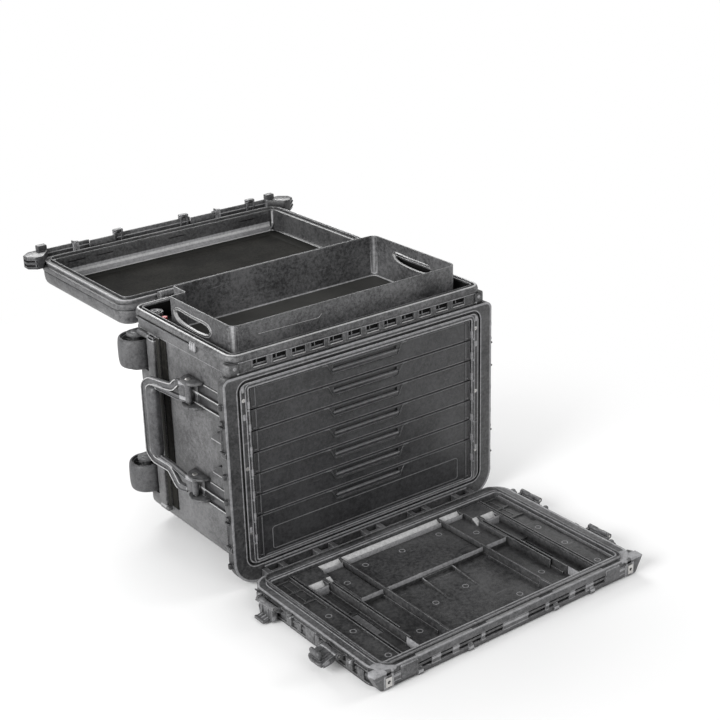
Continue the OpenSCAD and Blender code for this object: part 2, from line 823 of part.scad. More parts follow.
module lid_shell() {
    mid_y = (rim_front + rear_y) / 2;
    rim_d = rear_y - rim_front;
    color(shell_colour) lid_back() difference() {
        union() {
            difference() {
                union() {
                    lid_solid(0, lid_h - gap, 12);
                    // Lip band round the open edge
                    up_from(lid_z0, lid_z0 + 8) lid_mid()
                        round_rect(lid_w + 4, lid_y1 - lid_y0, 31);
                }
                translate([0, 0, -eps]) lid_solid(lid_wall, lid_h - gap - lid_wall, 8);
            }
            // Inner shoulder that meets the rim, and the tongue that presses on its gasket
            difference() {
                up_from(lid_z0, lid_z0 + 5) translate([0, mid_y]) round_rect(lid_w - 6, rim_d + 8, 22);
                up_from(lid_z0 - 1, lid_z0 + 6) translate([0, mid_y])
                    round_rect(rim_inner_w, rim_d - 2 * rim_wall, 12);
            }
            up_from(rim_h - seal_deep + gasket_t + 0.5, lid_z0 + 1) translate([0, mid_y]) difference() {
                round_rect(body_w - 2 * lid_seal_inset + 2, rim_d - 2 * lid_seal_inset + 2, 16);
                round_rect(body_w - 2 * lid_seal_inset - 2, rim_d - 2 * lid_seal_inset - 2, 14);
            }
            lid_skirt();
            for (x = lid_latch_x)
                at_lid_latch(x) latch_ears(lid_y0 - lid_latch_y + 1);
            // Arms to the hinge
            for (x = lid_hinge_x)
                translate([x, 0, 0]) along_x(-hinge_arm_w / 2, hinge_arm_w / 2) {
                    translate([lid_hy, rim_h]) circle(knuckle_r);
                    translate([lid_y1 - 3, lid_z0]) square([lid_hy - lid_y1 + 3, knuckle_r - gap]);
                }
        }
        rod_x(-open_w, open_w, lid_hy, rim_h, pin_d + 2 * run_gap);
        // Short slits in the front wall, seen from inside
        for (x = [-210, -70, 70, 210])
            block(x - 22, x + 22, lid_y0 + lid_wall - 1.5, lid_y0 + lid_wall + 1, lid_z0 + 16, lid_z0 + 20);
    }
}

// Tray

module tray_plan(inset) {
    y1 = tray_y0 + tray_d;
    difference() {
        translate([0, tray_y0 + tray_d / 2])
            round_rect(tray_w - 2 * inset, tray_d - 2 * inset, tray_r - inset);
        translate([-tray_w / 2 - 1, notch_y - inset])
            square([notch_x + inset + tray_w / 2 + 1, y1 + 1 - notch_y + inset]);
    }
}

module tray() {
    z1 = tray_z0 + tray_h;
    slot_y = tray_y0 + tray_d / 2 + 4;
    slot_z = z1 - 30;
    color(shell_colour) difference() {
        up_from(tray_z0, z1) tray_plan(0);
        up_from(tray_z0 + tray_wall, z1 + 1) tray_plan(tray_wall);
        // Hand slots
        for (s = [-1, 1])
            along_x(s * tray_w / 2 - 8, s * tray_w / 2 + 8)
                translate([slot_y, slot_z]) round_rect(tray_d - 132, 24, 11);
    }
}

// Drawers

module truss(y0, y1, z0, z1) {
    cells = 5;
    dy = (y1 - y0) / cells;
    h = z1 - z0;
    l = sqrt(dy * dy + h * h);
    for (i = [0 : cells]) translate([y0 + i * dy - 1, z0]) square([2, h]);
    for (i = [0 : cells - 1])
        translate([y0 + (i + 0.5) * dy, z0 + h / 2]) rotate(atan2(h, dy) * (i % 2 == 0 ? 1 : -1))
            square([l - 2, 2], center = true);
}

module drawer(k) {
    z0 = drawer_z(k) + seat_gap;
    side_h = drawer_pitch(k) - ledge_t - 2;
    z1 = z0 + side_h;
    front_z0 = z0 + 0.7;
    front_z1 = drawer_z(k) + drawer_pitch(k) - 1.5;
    wall_in = side_web - drawer_wall;
    y_in0 = drawer_y0 + front_t + drawer_wall;
    y_in1 = drawer_y1 - drawer_wall;
    pad_y1 = drawer_y1 - 4;
    pad_y0 = pad_y1 - 86;
    rows = k == 7 ? 2 : 1;
    row_h = (side_h - 4 - (rows - 1) * 10) / rows;
    handle_z = front_z1 - 12;
    color(drawer_colour) difference() {
        union() {
            difference() {
                block(-side_web, side_web, drawer_y0 + front_t - eps, drawer_y1, z0, z1);
                block(-wall_in, wall_in, y_in0, y_in1, z0 + 2, z1 + 1);
            }
            // Front with its corner pillars
            block(-open_w / 2 + 1.5, open_w / 2 - 1.5, drawer_y0, drawer_y0 + front_t, front_z0, front_z1);
            for (s = [-1, 1])
                block(s * (open_w / 2 - 9) - 7.5, s * (open_w / 2 - 9) + 7.5, drawer_y0, drawer_y0 + 14,
                    front_z0, z1);
            for (s = [-1, 1]) mirror([s < 0 ? 1 : 0, 0, 0]) {
                // Upper and lower rails of the side, then the truss between them
                for (z = [z0, z1 - 2])
                    block(side_web - eps, side_out, drawer_y0 + 13, drawer_y1, z, z + 2);
                for (r = [0 : rows - 1])
                    along_x(side_web - eps, side_out - 2)
                        truss(drawer_y0 + 14, pad_y0 - 4, z0 + 2 + r * (row_h + 10), z0 + 2 + r * (row_h + 10) + row_h);
                if (rows > 1)
                    for (z = [z0 + 2 + row_h, z0 + 10 + row_h])
                        block(side_web - eps, side_out, drawer_y0 + 13, drawer_y1, z, z + 2);
            }
            // Lip of the finger handle
            along_x(-handle_w / 2, handle_w / 2)
                polygon([[drawer_y0 + front_t, handle_z - 9], [drawer_y0 + 1, handle_z - 6],
                    [drawer_y0 - 1.5, handle_z], [drawer_y0 + front_t, handle_z]]);
        }
        // Finger slot above the lip
        block(-handle_w / 2 + 4, handle_w / 2 - 4, drawer_y0 - 3, drawer_y0 + front_t - 1, handle_z, handle_z + 8);
        // Small upright slots in the side walls near the back
        for (s = [-1, 1], j = [0, 1])
            block(s * side_web - 6, s * side_web + 6, drawer_y1 - 60 + j * 14, drawer_y1 - 56 + j * 14, z0 + 8, z1 - 6);
    }
}

// Smooth glide pads at the rear of a drawer's sides, in the channel between its rails
module glide_pads(k) {
    z0 = drawer_z(k) + seat_gap;
    side_h = drawer_pitch(k) - ledge_t - 2;
    pad_y1 = drawer_y1 - 4;
    pad_y0 = pad_y1 - 86;
    rows = k == 7 ? 2 : 1;
    row_h = (side_h - 4 - (rows - 1) * 10) / rows;
    color([0.45, 0.45, 0.46]) for (s = [-1, 1], r = [0 : rows - 1])
        mirror([s < 0 ? 1 : 0, 0, 0])
            along_x(side_web, pad_out) translate([(pad_y0 + pad_y1) / 2, z0 + 2 + r * (row_h + 10) + row_h / 2])
                round_rect(pad_y1 - pad_y0, row_h - 1, 5);
}

// Wheels

module wheel_brackets() {
    color(shell_colour) difference() {
        for (z = wheel_z, s = [-1, 1]) {
            zc = z + s * (notch_h - bracket_t) / 2;
            translate([wheel_x, wheel_y, zc - bracket_t / 2]) linear_extrude(bracket_t) {
                circle(17);
                translate([-4, -17 - 12]) square([30, 29]);
                translate([0, -17]) square([34, 26]);
            }
        }
        for (z = wheel_z)
            rod_z(wheel_x, wheel_y, z - notch_h, z + notch_h, axle_d);
    }
}

module wheel_axles() {
    color(steel_colour) for (z = wheel_z) {
        rod_z(wheel_x, wheel_y, z - notch_h / 2, z + notch_h / 2, axle_d);
    }
}

module wheel(z) {
    tyre_in = wheel_d / 2 - 8;
    color(panel_colour) translate([wheel_x, wheel_y, z]) difference() {
        union() {
            cylinder(h = wheel_w - 14, r = tyre_in, center = true);
            cylinder(h = wheel_w, d = axle_d + 10, center = true);
        }
        cylinder(h = wheel_w + 1, d = axle_d + 2 * run_gap, center = true);
        for (s = [-1, 1], a = [0 : 60 : 300])
            rotate(a) translate([tyre_in - 9, 0, s * (wheel_w / 2 - 7)]) cylinder(h = 16, d = 9, center = true);
    }
}

// Barrel-shaped tyre, turned about its axle
module tyre(z) {
    tyre_in = wheel_d / 2 - 8;
    half = wheel_w / 2;
    crown = 3;
    color(rubber_colour) translate([wheel_x, wheel_y, z]) rotate_extrude($fn = 64)
        polygon([[tyre_in, -half], [wheel_d / 2 - crown - 3, -half], [wheel_d / 2 - crown, -half + 3],
            [wheel_d / 2, -half / 2], [wheel_d / 2, half / 2], [wheel_d / 2 - crown, half - 3],
            [wheel_d / 2 - crown - 3, half], [tyre_in, half]]);
}

// Folding handles

// Bent strip of one width through a list of points, in plan, a little thicker at its bends
module track(points, w) {
    for (i = [0 : len(points) - 2]) {
        v = points[i + 1] - points[i];
        translate(points[i]) rotate(atan2(v[1], v[0])) translate([0, -w / 2]) square([norm(v), w]);
    }
    for (i = [1 : len(points) - 2]) translate(points[i]) circle(d = w + 2);
}

// Bail on the +X side: two cranked arms, each with an eye, and the bar between them
module handle_bail() {
    arm = [[pivot_x, pivot_y], [pivot_x, pivot_y + 34], [grip_x - 6, pivot_y + 58], [grip_x, grip_y]];
    difference() {
        union() {
            for (z = pivot_z)
                up_from(z - bail_d / 2, z + bail_d / 2) {
                    track(arm, bail_d);
                    translate([pivot_x, pivot_y]) circle(d = eye_d);
                    translate([grip_x, grip_y]) circle(d = bail_d + 5);
                }
            rod_z(grip_x, grip_y, pivot_z[0], pivot_z[1], bail_d);
        }
        for (z = pivot_z)
            rod_z(pivot_x, pivot_y, z - bail_d, z + bail_d, handle_pin_d + 2 * run_gap);
    }
}

module handle_grip() {
    difference() {
        rod_z(grip_x, grip_y, pivot_z[0] + bail_d + 8, pivot_z[1] - bail_d - 8, grip_d);
        rod_z(grip_x, grip_y, pivot_z[0], pivot_z[1], bail_d);
    }
}

module handle_bail_left() {
    color(drawer_colour) mirror([1, 0, 0]) handle_bail();
}

module handle_grip_left() {
    color(rubber_colour) mirror([1, 0, 0]) handle_grip();
}

module handle_bail_right() {
    color(drawer_colour) handle_bail();
}

module handle_grip_right() {
    color(rubber_colour) handle_grip();
}

// Pull handle that slides out of the right side, guessed from the wheels on the left

module pull_handle_guides() {
    x1 = body_w / 2 - 1;
    color(steel_colour) difference() {
        for (z = tube_z) rod_x(x1 - guide_len, x1, tube_y, z, tube_d + 2 * guide_wall);
        for (z = tube_z) rod_x(x1 - guide_len + 4, x1 + 1, tube_y, z, tube_d + 2 * run_gap);
    }
}

module pull_handle() {
    z0 = tube_z[0] - pull_end;
    z1 = tube_z[1] + pull_end;
    x0 = pull_x + 2;
    color(drawer_colour) union() {
        for (z = tube_z) rod_x(x0 - tube_len + 20, x0 + eps, tube_y, z, tube_d);
        translate([x0, 0, 0]) along_x(0, pull_t) translate([tube_y, (z0 + z1) / 2]) round_rect(22, z1 - z0, 10);
    }
}

case_shell();
top_rim();
front_frame();
door_gasket();
lid_gasket();
tray_shelf();
back_panel();
floor_panel();
runner_left();
runner_right();
drawer_catches();
runner_rivets();
base_skids();
frame_screws();
handle_brackets();
pressure_valve();
valve_seal();
door_hinge_ears();
lid_hinge_ears();
hinge_pins();
handle_pins();
door_shell();
door_inner_panel();
padlock_plates();
door_latch_pins();
door_latch(-1, door_latch_z[1], upper_left_open);  // door_latch_left_upper
door_latch(-1, door_latch_z[0], 180);  // door_latch_left_lower
door_latch(1, door_latch_z[1], 180);  // door_latch_right_upper
door_latch(1, door_latch_z[0], 180);  // door_latch_right_lower
lid_shell();
lid_latch_pins();
lid_latch(lid_latch_x[0]);  // lid_latch_left
lid_latch(lid_latch_x[1]);  // lid_latch_right
tray();
drawer(1);  // drawer_1
drawer(2);  // drawer_2
drawer(3);  // drawer_3
drawer(4);  // drawer_4
drawer(5);  // drawer_5
drawer(6);  // drawer_6
drawer(7);  // drawer_7
glide_pads(1);  // glide_pads_1
glide_pads(2);  // glide_pads_2
glide_pads(3);  // glide_pads_3
glide_pads(4);  // glide_pads_4
glide_pads(5);  // glide_pads_5
glide_pads(6);  // glide_pads_6
glide_pads(7);  // glide_pads_7
wheel_brackets();
wheel_axles();
wheel(wheel_z[1]);  // wheel_upper
tyre(wheel_z[1]);  // tyre_upper
wheel(wheel_z[0]);  // wheel_lower
tyre(wheel_z[0]);  // tyre_lower
handle_bail_left();
handle_grip_left();
handle_bail_right();
handle_grip_right();
pull_handle_guides();
pull_handle();
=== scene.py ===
import json
import math
import bpy
import bmesh
from mathutils import Matrix, Vector


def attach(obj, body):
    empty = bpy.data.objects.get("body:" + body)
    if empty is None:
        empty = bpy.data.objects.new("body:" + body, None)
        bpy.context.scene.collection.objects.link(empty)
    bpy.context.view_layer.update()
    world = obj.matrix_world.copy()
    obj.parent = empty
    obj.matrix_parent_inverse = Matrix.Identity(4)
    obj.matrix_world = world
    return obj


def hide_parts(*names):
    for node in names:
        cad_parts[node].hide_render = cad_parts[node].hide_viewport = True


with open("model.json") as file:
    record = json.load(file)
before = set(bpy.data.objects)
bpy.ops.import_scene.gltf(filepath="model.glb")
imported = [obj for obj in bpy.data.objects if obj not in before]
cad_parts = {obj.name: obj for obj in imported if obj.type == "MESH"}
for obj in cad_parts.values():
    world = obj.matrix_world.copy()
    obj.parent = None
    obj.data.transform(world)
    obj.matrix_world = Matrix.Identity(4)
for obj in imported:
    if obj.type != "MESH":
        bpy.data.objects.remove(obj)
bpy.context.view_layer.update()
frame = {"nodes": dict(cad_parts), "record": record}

# The case stands open: its door lies in front (-y), its lid hangs behind (+y), and -x is its left side.
# Shapes are written in millimetres, and a piece is turned into metres when it is finished.
MM = 0.001
SIDES = (-1, 1)
NODES = frame["nodes"]
SLOT_OF_NODE = {part["node"]: part["material_slot"] for part in frame["record"]["subparts"]}

# Materials

BLOTCH_SCALE = 9
PEBBLE_SCALE = 165
GRAIN_SCALE = 1100
# reach and darkest tone of the painted shade in crevices
PAINTED_SHADE_REACH = 0.011
PAINTED_SHADE_TONE = 0.22
# reach of the pale outer edges, painted highlight together with rubbed wear
EDGE_HIGHLIGHT_AND_WEAR_REACH = 0.0015
SCRATCH_TURN = (0.3, 0.7, 0.5)
SCRATCH_SCALE = (30, 700, 160)
EDGE_ROUNDING = 0.0012
GRAIN_DEPTH = 0.0006
BRUSH_SCALE = (60, 60, 2600)
BRUSH_DEPTH = 0.0002
OCCLUSION_SAMPLES = 6


class Tree:
    """Nodes of a material or world. An input that is given a socket is linked, any other value is set."""

    def __init__(self, owner):
        owner.use_nodes = True
        self.nodes = owner.node_tree.nodes
        self.links = owner.node_tree.links

    def feed(self, node, inputs):
        for key, value in inputs.items():
            if isinstance(value, bpy.types.NodeSocket):
                self.links.new(value, node.inputs[key])
            else:
                node.inputs[key].default_value = value

    def add(self, kind, inputs=None, **settings):
        node = self.nodes.new("ShaderNode" + kind)
        for key, value in settings.items():
            setattr(node, key, value)
        self.feed(node, inputs or {})
        return node

    def noise(self, vector, scale, detail, roughness=0.5):
        inputs = {"Vector": vector, "Scale": scale, "Detail": detail, "Roughness": roughness}
        return self.add("TexNoise", inputs).outputs["Fac"]

    def remap(self, value, low, high, new_low=0.0, new_high=1.0):
        inputs = {"Value": value, "From Min": low, "From Max": high, "To Min": new_low, "To Max": new_high}
        return self.add("MapRange", inputs).outputs["Result"]

    def calculate(self, operation, *values):
        return self.add("Math", dict(enumerate(values)), operation=operation).outputs[0]

    def mix(self, factor, first, second, blend="MIX"):
        inputs = {"Factor": factor, "A": first, "B": second}
        return self.add("Mix", inputs, data_type="RGBA", blend_type=blend).outputs["Result"]

    def occlusion(self, reach, inside=False):
        settings = {"samples": OCCLUSION_SAMPLES, "inside": inside}
        return self.add("AmbientOcclusion", {"Distance": reach}, **settings).outputs["AO"]

    def stretched(self, vector, scale, turn=(0, 0, 0)):
        return self.add("Mapping", {"Vector": vector, "Rotation": turn, "Scale": scale}).outputs["Vector"]


def new_material(name):
    material = bpy.data.materials.new(name)
    tree = Tree(material)
    return material, tree, tree.nodes["Principled BSDF"]


# edge is the pale colour of the outer edges, painted highlight together with rubbed wear
def plastic(name, dark, light, rough=(0.34, 0.56), grain=0.3, edge=(0.38, 0.38, 0.39), edge_highlight_and_wear=0.9,
            scuff=0.3, specular=0.5):
    """Moulded plastic: a mottled two-tone ground with fine grain in colour and bump, painted shade in
    crevices, pale outer edges that are painted highlight together with rubbed wear, and a few scuffs."""
    material, tree, shader = new_material(name)
    place = tree.add("TexCoord").outputs["Object"]
    blotches = tree.noise(place, BLOTCH_SCALE, 7, 0.6)
    pebbles = tree.noise(place, PEBBLE_SCALE, 5, 0.75)
    fine = tree.noise(place, GRAIN_SCALE, 3)
    tone = tree.calculate("MULTIPLY", blotches, 0.6)
    tone = tree.calculate("MULTIPLY_ADD", fine, 0.4, tone)
    tone = tree.calculate("MULTIPLY_ADD", pebbles, 0.8, tone)
    ground = tree.mix(tree.remap(tone, 0.76, 1.04), (*dark, 1), (*light, 1))
    # painted shade in crevices
    open_share = tree.calculate("POWER", tree.occlusion(PAINTED_SHADE_REACH), 1.5)
    shaded = tree.mix(1.0, ground, tree.remap(open_share, 0.12, 0.95, PAINTED_SHADE_TONE, 1.0), "MULTIPLY")
    # pale outer edges: painted highlight together with rubbed wear
    rubbed_and_highlit = tree.remap(tree.occlusion(EDGE_HIGHLIGHT_AND_WEAR_REACH, inside=True), 0.8, 0.42)
    uneven = tree.remap(pebbles, 0.34, 0.62, edge_highlight_and_wear * 0.55, edge_highlight_and_wear)
    worn_and_highlit = tree.calculate("MULTIPLY", rubbed_and_highlit, uneven)
    # scuffs: noise stretched into thin pale scratches
    scratches = tree.noise(tree.stretched(place, SCRATCH_SCALE, SCRATCH_TURN), 1.0, 2)
    worn_and_highlit = tree.calculate("MAXIMUM", worn_and_highlit, tree.remap(scratches, 0.68, 0.8, 0.0, scuff))
    rounded = tree.add("Bevel", {"Radius": EDGE_ROUNDING}, samples=3).outputs["Normal"]
    relief = tree.calculate("MULTIPLY_ADD", pebbles, 0.8, fine)
    bump = tree.add("Bump", {"Strength": grain, "Distance": GRAIN_DEPTH, "Height": relief, "Normal": rounded})
    tree.feed(shader, {
        "Base Color": tree.mix(worn_and_highlit, shaded, (*edge, 1)),
        "Roughness": tree.remap(pebbles, 0.3, 0.7, *rough),
        "Normal": bump.outputs["Normal"],
        "Specular IOR Level": specular,
    })
    return material


def brushed_steel(name, colour, rough=0.3):
    """Bare steel with fine brush marks across its length."""
    material, tree, shader = new_material(name)
    place = tree.add("TexCoord").outputs["Object"]
    marks = tree.noise(tree.stretched(place, BRUSH_SCALE), 1.0, 4)
    dark = tuple(value * 0.72 for value in colour)
    bump = tree.add("Bump", {"Strength": 0.12, "Distance": BRUSH_DEPTH, "Height": marks})
    tree.feed(shader, {
        "Base Color": tree.mix(marks, (*dark, 1), (*colour, 1)),
        "Roughness": tree.remap(marks, 0.0, 1.0, rough - 0.08, rough + 0.14),
        "Normal": bump.outputs["Normal"],
        "Metallic": 1.0,
    })
    return material


# Each edge colour is the painted highlight and rubbed wear on that finish's outer edges.
FINISHES = {
    "shell": plastic("shell_moulded", (0.022, 0.022, 0.023), (0.135, 0.135, 0.138)),
    "panel": plastic("panel_moulded", (0.016, 0.016, 0.017), (0.085, 0.085, 0.086), rough=(0.32, 0.5)),
    "drawer": plastic("drawer_moulded", (0.012, 0.012, 0.013), (0.05, 0.05, 0.052), rough=(0.28, 0.44),
                      edge=(0.17, 0.17, 0.175), grain=0.2),
    # pad is light grey plastic that also serves the pale painted highlights on lips, beads, coves, slopes and
    # lines
    "pad": plastic("pad_moulded", (0.15, 0.15, 0.155), (0.28, 0.28, 0.285), rough=(0.34, 0.46),
                   edge=(0.5, 0.5, 0.5), grain=0.15),
    "lever": plastic("lever_moulded", (0.035, 0.035, 0.037), (0.13, 0.13, 0.134), rough=(0.3, 0.46),
                     grain=0.2),
    "gasket": plastic("gasket_rubber", (0.016, 0.016, 0.017), (0.07, 0.07, 0.073), rough=(0.5, 0.66),
                      edge=(0.3, 0.3, 0.3), grain=0.4, scuff=0.1),
    "tyre": plastic("tyre_rubber", (0.022, 0.022, 0.023), (0.085, 0.085, 0.088), rough=(0.46, 0.62),
                    edge=(0.3, 0.3, 0.3), grain=0.35, scuff=0.15),
    # frame is the shell's plastic made darker for the front frame: painted shade
    "frame": plastic("frame_shaded_moulded", (0.013, 0.013, 0.014), (0.082, 0.082, 0.084), edge=(0.34, 0.34, 0.35)),
    "grip": plastic("grip_moulded", (0.02, 0.02, 0.0215), (0.088, 0.088, 0.092), rough=(0.32, 0.48),
                    grain=0.2),
    "sheen_1": plastic("sheen_faint", (0.035, 0.035, 0.036), (0.16, 0.16, 0.163), edge=(0.1, 0.1, 0.1),
                       edge_highlight_and_wear=0.0),
    "sheen_2": plastic("sheen_mid", (0.08, 0.08, 0.082), (0.22, 0.22, 0.224), edge=(0.2, 0.2, 0.2),
                       edge_highlight_and_wear=0.0),
    "sheen_3": plastic("sheen_bright", (0.2, 0.2, 0.204), (0.36, 0.36, 0.365), edge=(0.3, 0.3, 0.3),
                       edge_highlight_and_wear=0.0),
    # liner is the lid's dark floor, and also painted shade on the side straps
    "liner_and_shade": plastic("liner_and_shade_matt", (0.006, 0.0059, 0.0055), (0.026, 0.0252, 0.0226), rough=(0.6, 0.8),
                     edge=(0.03, 0.03, 0.028), grain=0.2, scuff=0.06, specular=0.02),
    "floor": plastic("floor_matt", (0.026, 0.0256, 0.0238), (0.095, 0.093, 0.085), rough=(0.5, 0.7),
                     edge=(0.05, 0.05, 0.048), grain=0.2, scuff=0.06, specular=0.25),
    # near-black painted shade in hollows, slots and wells
    "well": plastic("well_matt", (0.004, 0.004, 0.004), (0.012, 0.012, 0.012), rough=(0.7, 0.9),
                    edge=(0.006, 0.006, 0.006), grain=0.1, scuff=0.0, specular=0.1),
    "steel": brushed_steel("steel_brushed", (0.66, 0.65, 0.63)),
    "seal": plastic("seal_red", (0.42, 0.012, 0.016), (0.65, 0.03, 0.035), rough=(0.35, 0.5),
                    edge=(0.75, 0.14, 0.14), grain=0.1, scuff=0.1),
}


def dress(piece, finish):
    piece.data.materials.clear()
    piece.data.materials.append(FINISHES[finish])


# the front frame takes the darker frame finish, painted shade
for node_name, node in NODES.items():
    dress(node, "frame" if node_name == "front_frame" else SLOT_OF_NODE[node_name])

# Mesh tools

SHARP = math.radians(38)
ROUNDED_ANGLE = math.radians(35)
# Points nearer to each other than this are merged
MERGE_DISTANCE = 0.0005
# A turn below this, in radians, leaves a corner as it is
STRAIGHT = 0.01


def bevel_modifier(piece, width, angle):
    bevel = piece.modifiers.new("edges", "BEVEL")
    bevel.width = width
    bevel.segments = 2
    bevel.limit_method = "ANGLE"
    bevel.angle_limit = angle


def soften(piece, width):
    """Joins the facets of a CAD mesh into flats and rounds its edges, as modifiers."""
    weld = piece.modifiers.new("weld", "WELD")
    weld.merge_threshold = 0.00002
    flats = piece.modifiers.new("flats", "DECIMATE")
    flats.decimate_type = "DISSOLVE"
    flats.angle_limit = math.radians(1.0)
    bevel_modifier(piece, width, ROUNDED_ANGLE)


def rounded_path(corners, segments=8, step=None):
    """Closed path through rounded corners (u, v, radius), listed anticlockwise. Each entry can be moved
    outwards by offset_point, and step is the longest stretch without a point of its own."""
    path = []
    for i, (u, v, radius) in enumerate(corners):
        corner = Vector((u, v))
        before = (corner - Vector(corners[i - 1][:2])).normalized()
        after = (Vector(corners[(i + 1) % len(corners)][:2]) - corner).normalized()
        out_before = Vector((before.y, -before.x))
        out_after = Vector((after.y, -after.x))
        mitre = (out_before + out_after) / max(0.2, 1 + out_before.dot(out_after))
        turn = math.acos(max(-1, min(1, before.dot(after))))
        side = 1 if before.x * after.y - before.y * after.x > 0 else -1
        if not radius or turn < STRAIGHT:
            path.append((corner, mitre, corner, mitre, 0.0))
            continue
        centre = corner - before * radius * math.tan(turn / 2) - out_before * radius * side
        for j in range(segments + 1):
            outwards = Matrix.Rotation(turn * j / segments * side, 2) @ out_before
            path.append((centre + outwards * radius * side, outwards, corner, mitre, radius))
    if not step:
        return path
    full = []
    for i, entry in enumerate(path):
        following = path[(i + 1) % len(path)]
        full.append(entry)
        extra = int((following[0] - entry[0]).length // step)
        for j in range(1, extra + 1):
            full.append((entry, following, j / (extra + 1)))
    return full


def offset_point(entry, offset):
    """Point of a rounded path moved outwards, or inwards as far as the mitre of its corner."""
    if len(entry) == 3:
        first, second, share = entry
        return offset_point(first, offset) * (1 - share) + offset_point(second, offset) * share
    point, outwards, corner, mitre, radius = entry
    if offset < -radius:
        return corner + mitre * offset
    return point + outwards * offset


def rounded_box_path(x0, x1, y0, y1, radius, segments=8, step=None):
    corners = [(x0, y0, radius), (x1, y0, radius), (x1, y1, radius), (x0, y1, radius)]
    return rounded_path(corners, segments, step)


def rounded_line(points, radius, segments=8):
    """Points of a line whose inner corners are turned into curves of about that radius."""
    points = [Vector(point) for point in points]
    line = [points[0]]
    for before, corner, after in zip(points, points[1:], points[2:]):
        arriving = (corner - before).normalized()
        leaving = (after - corner).normalized()
        turn = math.acos(max(-1, min(1, arriving.dot(leaving))))
        if turn < STRAIGHT:
            line.append(corner)
            continue
        shorter = min((corner - before).length, (after - corner).length)
        reach = min(radius * math.tan(turn / 2), shorter * 0.48)
        start = corner - arriving * reach
        end = corner + leaving * reach
        for j in range(segments + 1):
            t = j / segments
            line.append((1 - t) ** 2 * start + 2 * t * (1 - t) * corner + t * t * end)
    line.append(points[-1])
    return line


def arc(centre, radius, first, last, step):
    """Points on a circle, from one angle to another in whole steps of degrees."""
    turns = [math.radians(degrees) for degrees in range(first, last + 1, step)]
    return [(centre[0] + radius * math.cos(t), centre[1] + radius * math.sin(t)) for t in turns]


def circle(radius, count):
    turns = [2 * math.pi * i / count for i in range(count)]
    return [(radius * math.cos(t), radius * math.sin(t)) for t in turns]


def in_space(axis, u, v, along):
    """Point in the plane across an axis, at a place along it."""
    return {"z": (u, v, along), "y": (u, along, v), "x": (along, u, v)}[axis]


def skin(mesh, rows, closed_rows=False, closed_points=True, left_out=()):
    """Four-sided faces between neighbouring rows of points."""
    points = len(rows[0])
    for i in range(len(rows) if closed_rows else len(rows) - 1):
        row = rows[i]
        beside = rows[(i + 1) % len(rows)]
        for j in range(points if closed_points else points - 1):
            k = (j + 1) % points
            if j not in left_out:
                mesh.faces.new((row[j], beside[j], beside[k], row[k]))


def shade(mesh):
    """Smooth shading with sharp edges where the surface turns."""
    mesh.normal_update()
    for face in mesh.faces:
        face.smooth = True
    for edge in mesh.edges:
        edge.smooth = not edge.is_manifold or edge.calc_face_angle(0) <= SHARP


def to_object(mesh, name):
    """Turns a finished mesh into an object of the scene, in metres."""
    for vertex in mesh.verts:
        vertex.co *= MM
    data = bpy.data.meshes.new(name)
    mesh.to_mesh(data)
    mesh.free()
    piece = bpy.data.objects.new(name, data)
    bpy.context.scene.collection.objects.link(piece)
    return piece


